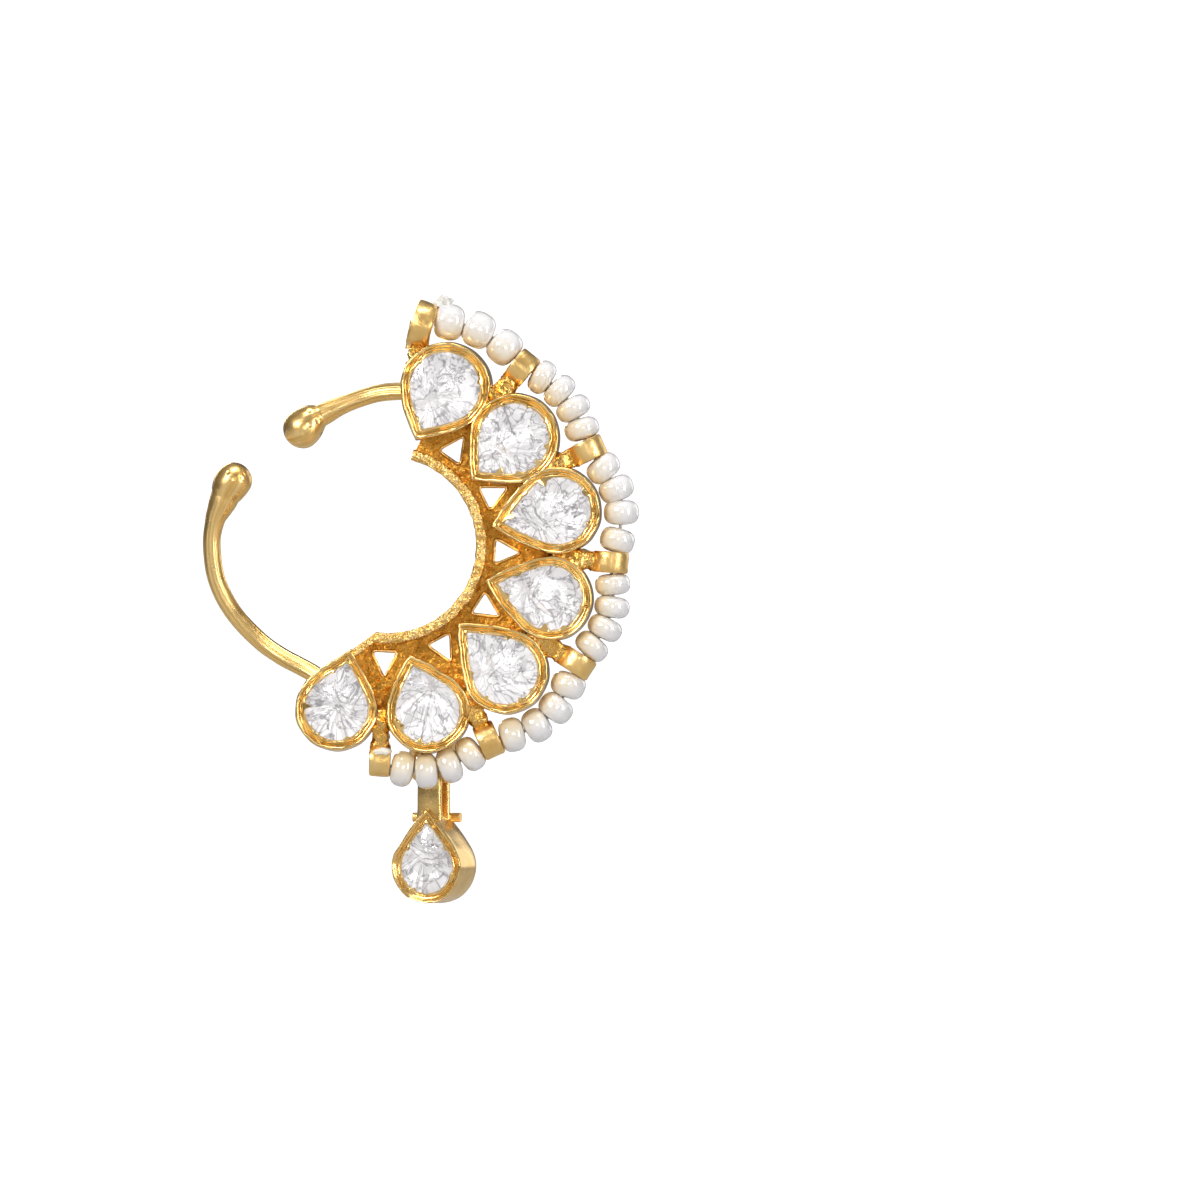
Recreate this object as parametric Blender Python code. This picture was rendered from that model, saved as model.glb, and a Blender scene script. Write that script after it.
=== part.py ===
"""Press-on nose ring: a crescent of stone-set cups edged with seed pearls, an open hoop and a pendant.

Sizes are in millimetres and become metres when a mesh is made. The stones face -Y and +Z is up.
The origin is the middle of the gap between the hoop's two ball ends, where the ring grips.
Places on the crescent are given by a radius and an angle about the crescent's own centre, with
the angle counted from +X towards +Z, and by a rise: how far they lie in front of the flat back.
"""

import math
from collections import namedtuple

import bmesh
import bpy
from mathutils import Matrix, Vector

MM = 0.001

# Where the crescent lies from the origin
CRESCENT_X = 7.12
CRESCENT_Z = -5.35
BACK_Y = -0.87

# Cups that hold the stones
CUP_RADIUS = 2.6
CUP_REACH = 3.6
CUP_CIRCLE_RADIUS = 10.0
CUP_HEIGHT = 2.94
CUP_FLARE = 0.16
CUP_BACK_ROUND = 0.3
CUP_RIM = 0.22
CUP_LEDGE = 0.18
LEDGE_DROP = 0.16
POCKET_DEPTH = 1.3
FLANK_RADIUS = 13.0
FIRST_ANGLE = 70.1
CUP_PITCH = 29.58

Cup = namedtuple("Cup", "shift lean outward radius_share reach_share")
CUPS = (
    Cup(shift=0.0, lean=-9.2, outward=-0.15, radius_share=1.03, reach_share=1.0),
    Cup(shift=-0.4, lean=3.5, outward=-0.31, radius_share=1.03, reach_share=0.99),
    Cup(shift=0.5, lean=2.0, outward=0.14, radius_share=1.0, reach_share=1.12),
    Cup(shift=0.5, lean=3.1, outward=0.02, radius_share=0.97, reach_share=1.12),
    Cup(shift=1.0, lean=1.3, outward=0.12, radius_share=0.98, reach_share=1.12),
    Cup(shift=1.3, lean=4.5, outward=0.05, radius_share=0.96, reach_share=0.99),
    Cup(shift=0.0, lean=4.1, outward=0.1, radius_share=0.95, reach_share=1.0),
)

# Stones
STONE_GAP = 0.07
STONE_CROWN = 0.32
STONE_TABLE_SHARE = 0.45
GIRDLE_DROP = 0.1

# Back plate with its piercings, and the band along its inner edge
PLATE_THICKNESS = 0.6
PLATE_OUTER_RADIUS = 9.9
BAND_INNER_RADIUS = 5.18
BAND_WALL = 0.62
BAND_HEIGHT = 2.12
BAND_START = 75.0
BAND_END = -98.0
PIERCING_BASE_RADIUS = 6.37
PIERCING_APEX_RADIUS = 7.72
PIERCING_HALF_WIDTH = 0.74
PIERCING_CORNER = 0.12

# Tubes that carry the thread, and the solder that joins them to the cups
TUBE_DIAMETER = 2.12
TUBE_BORE = 1.36
TUBE_LENGTH = 1.24
TUBE_EDGE = 0.14
STRING_RADIUS = 13.05
STRING_RISE = 1.65
WEB_START_RADIUS = 9.7
WEB_WIDTH = 0.95
WEB_RISE = 1.95
TONGUE_WIDTH = 1.3
TONGUE_THICKNESS = 0.8

Tube = namedtuple("Tube", "shift outward")
TUBES = (
    Tube(shift=-3.7, outward=0.34),
    Tube(shift=-2.3, outward=0.14),
    Tube(shift=-0.4, outward=-0.03),
    Tube(shift=-0.6, outward=0.08),
    Tube(shift=1.4, outward=0.02),
    Tube(shift=0.3, outward=-0.12),
    Tube(shift=0.4, outward=-0.15),
)

# Seed pearls between the tubes, and their thread
PEARL_DIAMETER = 2.08
PEARL_HOLE = 0.42
PEARL_GAP = 0.08
THREAD_DIAMETER = 0.2

Span = namedtuple("Span", "pearls bulge diameter_share")
SPANS = (
    Span(pearls=3, bulge=0.43, diameter_share=1.04),
    Span(pearls=4, bulge=0.47, diameter_share=1.0),
    Span(pearls=4, bulge=0.82, diameter_share=1.0),
    Span(pearls=4, bulge=0.6, diameter_share=1.0),
    Span(pearls=4, bulge=0.82, diameter_share=1.0),
    Span(pearls=4, bulge=0.8, diameter_share=1.02),
)

# Open hoop: angle and radius about the crescent's centre, and how far behind the flat back it runs
WIRE_DIAMETER = 1.05
UPPER_BALL_DIAMETER = 2.35
LOWER_BALL_DIAMETER = 2.15
HOOP_BOW = 1.75

Stop = namedtuple("Stop", "angle radius bow_share")
UPPER_WIRE = (
    Stop(angle=83.8, radius=9.1, bow_share=-0.15),
    Stop(angle=92.2, radius=8.95, bow_share=0.16),
    Stop(angle=100.1, radius=8.72, bow_share=0.3),
    Stop(angle=111.9, radius=8.69, bow_share=0.29),
    Stop(angle=126.3, radius=8.54, bow_share=0.27),
)
LOWER_WIRE = (
    Stop(angle=-110.1, radius=9.08, bow_share=-0.15),
    Stop(angle=-121.0, radius=8.79, bow_share=0.27),
    Stop(angle=-134.1, radius=9.13, bow_share=0.57),
    Stop(angle=-144.0, radius=9.51, bow_share=0.81),
    Stop(angle=-156.4, radius=10.01, bow_share=1.0),
    Stop(angle=-168.2, radius=10.38, bow_share=0.98),
    Stop(angle=-179.7, radius=10.47, bow_share=0.88),
    Stop(angle=-187.8, radius=10.39, bow_share=0.81),
    Stop(angle=-193.0, radius=10.2, bow_share=0.76),
    Stop(angle=-202.6, radius=9.94, bow_share=0.73),
)

# Pendant, about the middle of the wire loop it hangs on
LOOP_X = 9.79
LOOP_Z = -19.0
LOOP_BEHIND = 0.59
LOOP_WIRE_DIAMETER = 0.76
LOOP_HALF_WIDTH = 1.18
LOOP_LEG = 2.05
PENDANT_TURN = -17.7
BAIL_WALL = 0.38
BAIL_WIDTH = 1.3
BAIL_PLAY = 0.1
BAIL_BORE = 1.44
BAIL_FOOT = 2.2
PENDANT_DROP = 1.84
PENDANT_RADIUS = 2.18
PENDANT_REACH = 3.48
PENDANT_DEPTH = 3.18
PENDANT_FLARE = 0.1
TAB_LENGTH = 5.0
TAB_DROP = 2.5
TAB_HEIGHT = 0.5
TAB_THICKNESS = 0.35

# Facets of round shapes
CUP_ARC_STEPS = 16
CUP_FLANK_STEPS = 3
STONE_ARC_STEPS = 8
STONE_FLANK_STEPS = 2
TUBE_SIDES = 16
BORE_PHASE = 0.37
PEARL_SIDES = 12
PEARL_RINGS = 7
WIRE_STEPS_PER_STOP = 4
CUT_PAST = 0.3


def material(name, colour, roughness, metallic):
    """A plain Principled material."""
    made = bpy.data.materials.new(name)
    made.use_nodes = True
    shader = made.node_tree.nodes["Principled BSDF"]
    shader.inputs["Base Color"].default_value = (*colour, 1.0)
    shader.inputs["Roughness"].default_value = roughness
    shader.inputs["Metallic"].default_value = metallic
    return made


def on_crescent(radius, angle, rise):
    """The point at this radius and angle about the crescent's centre, in front of the flat back."""
    turn = math.radians(angle)
    return Vector(
        (
            CRESCENT_X + radius * math.cos(turn),
            BACK_Y - rise,
            CRESCENT_Z + radius * math.sin(turn),
        )
    )


def facing_front(origin, angle):
    """Matrix that lays a flat outline in the crescent's plane: its X at the angle, its Z to the front."""
    turn = math.radians(angle)
    along = Vector((math.cos(turn), 0, math.sin(turn)))
    across = Vector((-math.sin(turn), 0, math.cos(turn)))
    front = Vector((0, -1, 0))
    return Matrix.Translation(origin) @ Matrix((along, across, front)).transposed().to_4x4()


def add_object(name, mesh, look=None, matrix=None):
    """Puts a mesh in the scene with its normals outwards. One with a look is finished, in metres."""
    if matrix is not None:
        mesh.transform(matrix)
    if look is not None:
        mesh.transform(Matrix.Scale(MM, 4))
    shell = bmesh.new()
    shell.from_mesh(mesh)
    bmesh.ops.recalc_face_normals(shell, faces=shell.faces)
    shell.to_mesh(mesh)
    shell.free()
    made = bpy.data.objects.new(name, mesh)
    bpy.context.scene.collection.objects.link(made)
    if look is not None:
        mesh.materials.append(look)
    return made


def stacked(name, rings, look=None, matrix=None):
    """A closed solid through rings of points, with a flat cap on the first and the last."""
    shell = bmesh.new()
    rows = [[shell.verts.new(point) for point in ring] for ring in rings]
    for low, high in zip(rows, rows[1:]):
        for i in range(len(low)):
            j = (i + 1) % len(low)
            shell.faces.new((low[i], low[j], high[j], high[i]))
    shell.faces.new(rows[0])
    shell.faces.new(rows[-1])
    mesh = bpy.data.meshes.new(name)
    shell.to_mesh(mesh)
    shell.free()
    return add_object(name, mesh, look, matrix)


def prism(name, outline, low, high, matrix=None, corner=0.0):
    """A flat outline raised from one height to another, with its upright corners rounded."""
    shell = bmesh.new()
    face = shell.faces.new([shell.verts.new((x, y, low)) for x, y in outline])
    raised = bmesh.ops.extrude_face_region(shell, geom=[face])
    tops = [item for item in raised["geom"] if isinstance(item, bmesh.types.BMVert)]
    bmesh.ops.translate(shell, vec=(0, 0, high - low), verts=tops)
    if corner:
        upright = [e for e in shell.edges if abs(e.verts[0].co.z - e.verts[1].co.z) > (high - low) / 2]
        bmesh.ops.bevel(shell, geom=upright, offset=corner, segments=2, affect="EDGES", profile=0.5)
    mesh = bpy.data.meshes.new(name)
    shell.to_mesh(mesh)
    shell.free()
    return add_object(name, mesh, None, matrix)


def turned(name, profile, sides, look=None, matrix=None, phase=0.0):
    """A profile of (radius, height) points turned about Z. One that starts off the axis is a ring."""
    shell = bmesh.new()
    start = Matrix.Rotation(math.tau / sides * phase, 3, "Z")
    corners = [shell.verts.new(start @ Vector((radius, 0, height))) for radius, height in profile]
    edges = [shell.edges.new(pair) for pair in zip(corners, corners[1:])]
    if profile[0][0] > 0:
        edges.append(shell.edges.new((corners[-1], corners[0])))
    bmesh.ops.spin(
        shell, geom=corners + edges, cent=(0, 0, 0), axis=(0, 0, 1), angle=math.tau, steps=sides
    )
    bmesh.ops.remove_doubles(shell, verts=shell.verts, dist=MM)
    mesh = bpy.data.meshes.new(name)
    shell.to_mesh(mesh)
    shell.free()
    return add_object(name, mesh, look, matrix)


def along_axis(origin, direction):
    """Matrix that turns Z to the direction and moves to the origin."""
    return Matrix.Translation(origin) @ direction.to_track_quat("Z", "Y").to_matrix().to_4x4()


def smooth_path(points, steps):
    """Points along a smooth curve that passes through the given ones."""
    ends = [2 * points[0] - points[1]] + list(points) + [2 * points[-1] - points[-2]]
    path = []
    for before, start, end, after in zip(ends, ends[1:], ends[2:], ends[3:]):
        for step in range(steps):
            t = step / steps
            path.append(
                0.5
                * (
                    2 * start
                    + (end - before) * t
                    + (2 * before - 5 * start + 4 * end - after) * t**2
                    + (3 * start - before - 3 * end + after) * t**3
                )
            )
    path.append(points[-1])
    return path


def wire(name, path, diameter, resolution, look=None, swell=()):
    """A round wire along a path. The swell lists radius shares, counted back from its end."""
    unit = MM if look is not None else 1.0
    curve = bpy.data.curves.new(name, "CURVE")
    curve.dimensions = "3D"
    curve.bevel_depth = diameter / 2 * unit
    curve.bevel_resolution = resolution
    curve.use_fill_caps = True
    line = curve.splines.new("POLY")
    line.points.add(len(path) - 1)
    for point, place in zip(line.points, path):
        point.co = (*(place * unit), 1.0)
    for back, share in enumerate(swell):
        line.points[-1 - back].radius = share
    made = bpy.data.objects.new(name, curve)
    bpy.context.scene.collection.objects.link(made)
    if look is not None:
        curve.materials.append(look)
        return made
    bpy.context.view_layer.update()
    graph = bpy.context.evaluated_depsgraph_get()
    mesh = bpy.data.meshes.new_from_object(made.evaluated_get(graph))
    bpy.data.objects.remove(made)
    bpy.data.curves.remove(curve)
    shell = bmesh.new()
    shell.from_mesh(mesh)
    bmesh.ops.remove_doubles(shell, verts=shell.verts, dist=MM)
    shell.to_mesh(mesh)
    shell.free()
    return add_object(name, mesh)


def ball(name, centre, diameter):
    """A round ball."""
    shell = bmesh.new()
    bmesh.ops.create_uvsphere(shell, u_segments=14, v_segments=10, radius=diameter / 2)
    mesh = bpy.data.meshes.new(name)
    shell.to_mesh(mesh)
    shell.free()
    return add_object(name, mesh, None, Matrix.Translation(centre))


def boolean(base, others, operation):
    """One exact Boolean of the base with all the others at once."""
    group = bpy.data.collections.new(operation)
    for other in others:
        group.objects.link(other)
    change = base.modifiers.new(operation, "BOOLEAN")
    change.operation = operation
    change.solver = "EXACT"
    change.operand_type = "COLLECTION"
    change.collection = group
    bpy.context.view_layer.update()
    graph = bpy.context.evaluated_depsgraph_get()
    mesh = bpy.data.meshes.new_from_object(base.evaluated_get(graph))
    base.modifiers.clear()
    base.data = mesh
    bpy.data.collections.remove(group)
    for other in others:
        bpy.data.objects.remove(other)


def fused(name, shapes, cutters, look):
    """One closed solid: all shapes joined, then every cutter taken out."""
    base = shapes[0]
    boolean(base, shapes[1:], "UNION")
    boolean(base, cutters, "DIFFERENCE")
    base.name = name
    mesh = base.data
    mesh.name = name
    mesh.transform(Matrix.Scale(MM, 4))
    mesh.materials.clear()
    mesh.materials.append(look)
    mesh.shade_smooth()
    mesh.set_sharp_from_angle(angle=math.radians(35))
    return base


def pear(radius, reach, inset, arc_steps, flank_steps):
    """A pear's outline with its body at the middle and its tip at -X, moved inwards by the inset."""
    flank = FLANK_RADIUS
    centre_x = (2 * flank * radius - radius**2 - reach**2) / (2 * reach)
    centre_y = math.sqrt((flank - radius) ** 2 - centre_x**2)
    touch = math.atan2(centre_y, -centre_x)
    tip = centre_x - math.sqrt((flank - inset) ** 2 - centre_y**2)
    tip_turn = math.atan2(centre_y, tip - centre_x)
    upper = []
    for step in range(flank_steps):
        turn = tip_turn + (touch - tip_turn) * step / flank_steps
        upper.append(
            (centre_x + (flank - inset) * math.cos(turn), -centre_y + (flank - inset) * math.sin(turn))
        )
    for step in range(arc_steps // 2):
        turn = touch * (1 - 2 * step / arc_steps)
        upper.append(((radius - inset) * math.cos(turn), (radius - inset) * math.sin(turn)))
    lower = [(x, -y) for x, y in reversed(upper[1:])]
    return upper + [(radius - inset, 0.0)] + lower


def level(outline, height):
    """An outline's points at one height."""
    return [(x, y, height) for x, y in outline]


def cup_rings(radius, reach, height, flare):
    """A cup's outer wall, from its rounded back edge to its rim."""
    sections = (
        (CUP_BACK_ROUND, 0.0),
        (CUP_BACK_ROUND * 0.3, CUP_BACK_ROUND * 0.6),
        (0.0, CUP_BACK_ROUND * 1.8),
        (flare, height),
    )
    return [level(pear(radius, reach, inset, CUP_ARC_STEPS, CUP_FLANK_STEPS), z) for inset, z in sections]


def pocket_rings(radius, reach, height, flare):
    """The room inside a cup: past the rim, down to the ledge, and down to the stone's floor."""
    rim = flare + CUP_RIM
    sections = (
        (rim, height + CUT_PAST),
        (rim, height - LEDGE_DROP),
        (rim + CUP_LEDGE, height - LEDGE_DROP),
        (rim + CUP_LEDGE, height - POCKET_DEPTH),
    )
    return [level(pear(radius, reach, inset, CUP_ARC_STEPS, CUP_FLANK_STEPS), z) for inset, z in sections]


def stone(name, radius, reach, height, flare, look, matrix):
    """A faceted stone with a table, standing clear of its cup by the stone gap."""
    edge = flare + CUP_RIM + CUP_LEDGE + STONE_GAP
    girdle = pear(radius, reach, edge, STONE_ARC_STEPS, STONE_FLANK_STEPS)
    middle = (girdle[0][0] + girdle[len(girdle) // 2][0]) / 2
    floor = height - POCKET_DEPTH + STONE_GAP

    def shrunk(share, z):
        return [(middle + (x - middle) * share, y * share, z) for x, y in girdle]

    rings = (
        shrunk(0.7, floor),
        shrunk(1.0, height - GIRDLE_DROP - 2 * STONE_GAP),
        shrunk(1.0, height - GIRDLE_DROP),
        shrunk((1 + STONE_TABLE_SHARE) / 2, height - GIRDLE_DROP + STONE_CROWN * 0.7),
        shrunk(STONE_TABLE_SHARE, height - GIRDLE_DROP + STONE_CROWN),
    )
    return stacked(name, rings, look, matrix)


def cup_angle(index):
    """The angle of a cup about the crescent's centre."""
    return FIRST_ANGLE - index * CUP_PITCH + CUPS[index].shift


def cup_matrix(index):
    """A cup's place and lean: its tip points inwards and it opens to the front."""
    row = CUPS[index]
    centre = on_crescent(CUP_CIRCLE_RADIUS + row.outward, cup_angle(index), 0.0)
    return facing_front(centre, cup_angle(index) + row.lean)


def tube_angle(index):
    """The angle of a tube, half a pitch before or after its neighbours' cups."""
    half = CUP_PITCH / 2
    start = FIRST_ANGLE + half if index == 0 else FIRST_ANGLE - (index - 0.5) * CUP_PITCH
    return start + TUBES[index].shift


def tube_radius(index):
    """The radius at which a tube sits."""
    return STRING_RADIUS + TUBES[index].outward


def tube_direction(angle):
    """Along the string at this angle, towards falling angles."""
    turn = math.radians(angle)
    return Vector((math.sin(turn), 0, -math.cos(turn)))


def arc(radius, start, end, steps):
    """Flat points on an arc about the crescent's centre."""
    turns = [math.radians(start + (end - start) * i / steps) for i in range(steps + 1)]
    return [(radius * math.cos(turn), radius * math.sin(turn)) for turn in turns]


def back_plate(flat):
    """The plate behind the cups, from the band's wall to where the cups meet."""
    last = len(CUPS) - 1
    start = cup_angle(0) + math.degrees(CUP_RADIUS * 0.15 / BAND_INNER_RADIUS)
    inner = arc(BAND_INNER_RADIUS + BAND_WALL / 2, start, BAND_END, 30)
    outer = arc(PLATE_OUTER_RADIUS, cup_angle(last), cup_angle(0), 24)
    return prism("plate", inner + outer, 0.0, PLATE_THICKNESS, flat)


def inner_band(flat):
    """The upright band along the inner edge, ending in a straight run to the last cup's tip."""
    last = len(CUPS) - 1
    tip_radius = CUP_CIRCLE_RADIUS + CUPS[last].outward - CUP_REACH * CUPS[last].reach_share
    run_end = cup_angle(last) - 1.5
    inner = arc(BAND_INNER_RADIUS, BAND_START, BAND_END, 36)
    outer = arc(BAND_INNER_RADIUS + BAND_WALL, BAND_END, BAND_START, 36)
    run = [arc(tip_radius, run_end, run_end, 1)[0], arc(tip_radius + BAND_WALL * 1.4, run_end, run_end, 1)[0]]
    return prism("band", inner + run + outer, 0.0, BAND_HEIGHT, flat)


def piercing(index, flat):
    """The three-cornered hole between two cups."""
    middle = math.radians((cup_angle(index) + cup_angle(index + 1)) / 2)
    spread = math.asin(PIERCING_HALF_WIDTH / PIERCING_BASE_RADIUS)
    corners = (
        (PIERCING_BASE_RADIUS, middle - spread),
        (PIERCING_APEX_RADIUS, middle),
        (PIERCING_BASE_RADIUS, middle + spread),
    )
    outline = [(radius * math.cos(turn), radius * math.sin(turn)) for radius, turn in corners]
    return prism(
        f"piercing_{index + 1}", outline, -CUT_PAST, PLATE_THICKNESS + CUT_PAST, flat, PIERCING_CORNER
    )


def thread_tube(index):
    """A short tube on the string, with softened end edges, still solid."""
    angle = tube_angle(index)
    radius = TUBE_DIAMETER / 2
    half = TUBE_LENGTH / 2
    profile = ((0, -half), (radius - TUBE_EDGE, -half), (radius, TUBE_EDGE - half))
    profile += ((radius, half - TUBE_EDGE), (radius - TUBE_EDGE, half), (0, half))
    place = along_axis(on_crescent(tube_radius(index), angle, STRING_RISE), tube_direction(angle))
    return turned(f"tube_{index + 1}", profile, TUBE_SIDES, None, place)


def tube_bore(index):
    """The cutter for a tube's bore."""
    angle = tube_angle(index)
    half = TUBE_LENGTH / 2 + CUT_PAST
    profile = ((0, -half), (TUBE_BORE / 2, -half), (TUBE_BORE / 2, half), (0, half))
    place = along_axis(on_crescent(tube_radius(index), angle, STRING_RISE), tube_direction(angle))
    return turned(f"bore_{index + 1}", profile, TUBE_SIDES, None, place, BORE_PHASE)


def spoke(name, angle, start, end, width, rise):
    """A bar that runs outwards on the flat back at this angle."""
    half = width / 2
    outline = ((start, -half), (end, -half * 1.15), (end, half * 1.15), (start, half))
    matrix = facing_front(on_crescent(0.0, 0.0, 0.0), angle)
    return prism(name, outline, 0.0, rise, matrix)


def string_point(span, share):
    """A point on the string between two tubes, which bows outwards between them."""
    start, end = tube_angle(span), tube_angle(span + 1)
    radius = tube_radius(span) * (1 - share) + tube_radius(span + 1) * share
    bow = SPANS[span].bulge * math.sin(math.pi * share) ** 1.3
    return on_crescent(radius + bow, start + (end - start) * share, STRING_RISE)


def string_length(span):
    """The string's length between two tubes' middles."""
    points = [string_point(span, i / 20) for i in range(21)]
    return sum((b - a).length for a, b in zip(points, points[1:]))


def pearl_profile(radius, half):
    """A pearl's outline: flattened at its drilled ends and full at its middle."""
    hole = PEARL_HOLE / 2
    points = []
    for ring in range(PEARL_RINGS):
        turn = math.pi * (ring / (PEARL_RINGS - 1) - 0.5)
        round_share = math.cos(turn) ** 0.72
        end_share = math.copysign(abs(math.sin(turn)) ** 0.85, turn)
        points.append((hole + (radius - hole) * round_share, half * end_share))
    return points


def add_pearls(look):
    """The pearls of every span, evenly spaced between its tubes."""
    number = 0
    for span, row in enumerate(SPANS):
        length = string_length(span)
        ends = (TUBE_LENGTH / 2 + PEARL_GAP / 2) / length
        share = (1 - 2 * ends) / row.pearls
        for place in range(row.pearls):
            number += 1
            middle = ends + share * (place + 0.5)
            centre = string_point(span, middle)
            direction = string_point(span, middle + 0.02) - string_point(span, middle - 0.02)
            half = (share * length - PEARL_GAP) / 2
            radius = PEARL_DIAMETER * row.diameter_share / 2
            profile = pearl_profile(radius, half)
            name = f"pearl_{number:02d}"
            made = turned(name, profile, PEARL_SIDES, look, along_axis(centre, direction))
            made.data.shade_smooth()


def add_thread(look):
    """The thread from the first tube to the last, through every pearl."""
    path = []
    steps = 8
    for span in range(len(SPANS)):
        first = 0 if span == 0 else 1
        path += [string_point(span, i / steps) for i in range(first, steps + 1)]
    return wire("pearl_thread", path, THREAD_DIAMETER, 1, look)


def hoop_path(stops):
    """A hoop wire's smooth path through its stops."""
    points = [on_crescent(stop.radius, stop.angle, -HOOP_BOW * stop.bow_share) for stop in stops]
    return smooth_path(points, WIRE_STEPS_PER_STOP)


def hoop_shapes():
    """The two hoop wires, each swelling into its ball."""
    upper = hoop_path(UPPER_WIRE)
    lower = hoop_path(LOWER_WIRE)
    return [
        wire("upper_wire", upper, WIRE_DIAMETER, 3, swell=(1.5, 1.45, 1.2, 1.05)),
        ball("upper_ball", upper[-1], UPPER_BALL_DIAMETER),
        wire("lower_wire", lower, WIRE_DIAMETER, 3, swell=(1.5, 1.5, 1.4, 1.25, 1.15, 1.08, 1.03)),
        ball("lower_ball", lower[-1], LOWER_BALL_DIAMETER),
    ]


def pendant_matrix():
    """The pendant's own frame: X along the wire it hangs on, -Y to its front, at that wire's middle."""
    centre = Vector((LOOP_X, BACK_Y + LOOP_BEHIND, LOOP_Z))
    return Matrix.Translation(centre) @ Matrix.Rotation(math.radians(PENDANT_TURN), 4, "Z")


def hanging_loop():
    """The wire staple below the sixth cup: two legs and a straight run for the bail."""
    side = LOOP_HALF_WIDTH
    bend = LOOP_WIRE_DIAMETER * 0.45
    matrix = pendant_matrix()
    inside = CUP_BACK_ROUND + LOOP_WIRE_DIAMETER * 0.6
    corner = [(side, 0, bend), (side - bend * 0.3, 0, bend * 0.3), (side - bend, 0, 0)]
    half = [(side, 0, LOOP_LEG * 0.6)] + corner
    mirrored = [(-x, y, z) for x, y, z in reversed(half)]
    points = [matrix @ Vector(place) for place in half + mirrored]
    roots = [matrix @ Vector((x, 0, LOOP_LEG)) for x in (side * 0.8, -side * 0.8)]
    for root in roots:
        root.y = BACK_Y - inside
    points = [roots[0]] + points + [roots[1]]
    return wire("hanging_loop", points, LOOP_WIRE_DIAMETER, 3)


def bail_shapes(matrix):
    """The strap over the loop: a ring with its two ends spread down to the pendant's cup."""
    hole = BAIL_BORE / 2
    outer = hole + BAIL_WALL
    middle = LOOP_WIRE_DIAMETER / 2 + BAIL_PLAY - hole
    foot = BAIL_FOOT / 2
    spread = math.radians(18)
    turns = [-spread + (math.pi + 2 * spread) * i / 16 for i in range(17)]
    outline = [(outer * math.cos(turn), middle + outer * math.sin(turn)) for turn in turns]
    outline += [(-foot, -PENDANT_DROP), (-foot, -PENDANT_DROP - BAIL_WALL * 1.6)]
    outline += [(foot, -PENDANT_DROP - BAIL_WALL * 1.6), (foot, -PENDANT_DROP)]
    sideways = matrix @ Matrix(((0, 0, 1, 0), (1, 0, 0, 0), (0, 1, 0, 0), (0, 0, 0, 1)))
    strap = prism("bail", outline, -BAIL_WIDTH / 2, BAIL_WIDTH / 2, sideways)
    half = BAIL_WIDTH / 2 + CUT_PAST
    profile = ((0, -half), (hole, -half), (hole, half), (0, half))
    across = Matrix.Translation((0, 0, middle)) @ Matrix.Rotation(math.pi / 2, 4, "Y")
    bore = turned("bail_bore", profile, TUBE_SIDES, None, matrix @ across, BORE_PHASE)
    return strap, bore


def pendant(gold, clear):
    """The pendant's cup with its bail, back tabs and stone."""
    matrix = pendant_matrix()
    front = Matrix(((0, 1, 0, 0), (0, 0, -1, PENDANT_DEPTH / 2), (-1, 0, 0, -PENDANT_DROP - PENDANT_REACH), (0, 0, 0, 1)))
    place = matrix @ front
    size = (PENDANT_RADIUS, PENDANT_REACH, PENDANT_DEPTH, PENDANT_FLARE)
    body = stacked("pendant_cup", cup_rings(*size), None, place)
    pocket = stacked("pendant_pocket", pocket_rings(*size), None, place)
    strap, bore = bail_shapes(matrix)
    half = TAB_LENGTH / 2 * PENDANT_RADIUS / (PENDANT_RADIUS + PENDANT_REACH) * 1.25
    tabs = ((TAB_DROP, -half), (TAB_DROP + TAB_HEIGHT, -half), (TAB_DROP + TAB_HEIGHT, half), (TAB_DROP, half))
    outline = [(drop - PENDANT_DROP - PENDANT_REACH, y) for drop, y in tabs]
    bar = prism("tabs", outline, CUP_BACK_ROUND * 0.5, CUP_BACK_ROUND * 0.5 + TAB_THICKNESS, place)
    fused("pendant_setting", [body, strap, bar], [pocket, bore], gold)
    stone("pendant_stone", *size, clear, place)


def main():
    for old in list(bpy.data.objects):
        bpy.data.objects.remove(old)
    gold = material("gold", (0.83, 0.56, 0.18), 0.3, 1.0)
    clear = material("clear_stone", (0.9, 0.9, 0.92), 0.08, 0.0)
    nacre = material("nacre", (0.9, 0.87, 0.8), 0.25, 0.0)
    cotton = material("thread", (0.9, 0.87, 0.78), 0.7, 0.0)

    flat = facing_front(on_crescent(0.0, 0.0, 0.0), 0.0)
    shapes = [back_plate(flat), inner_band(flat)]
    cutters = []
    for index, row in enumerate(CUPS):
        size = (CUP_RADIUS * row.radius_share, CUP_REACH * row.reach_share, CUP_HEIGHT, CUP_FLARE)
        place = cup_matrix(index)
        shapes.append(stacked(f"cup_{index + 1}", cup_rings(*size), None, place))
        cutters.append(stacked(f"pocket_{index + 1}", pocket_rings(*size), None, place))
        stone(f"stone_{index + 1}", *size, clear, place)
    for index in range(len(TUBES)):
        angle = tube_angle(index)
        web_end = tube_radius(index) + TUBE_EDGE
        shapes.append(spoke(f"web_{index + 1}", angle, WEB_START_RADIUS, web_end, WEB_WIDTH, WEB_RISE))
        shapes.append(thread_tube(index))
        cutters.append(tube_bore(index))
    tongue_end = tube_radius(0) + TUBE_DIAMETER * 0.3
    shapes.append(
        spoke("tongue", tube_angle(0) + 1.2, WEB_START_RADIUS, tongue_end, TONGUE_WIDTH, TONGUE_THICKNESS)
    )
    cutters += [piercing(index, flat) for index in range(len(CUPS) - 1)]
    shapes += hoop_shapes()
    shapes.append(hanging_loop())
    fused("setting_frame", shapes, cutters, gold)
    add_pearls(nacre)
    add_thread(cotton)
    pendant(gold, clear)


main()
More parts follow.
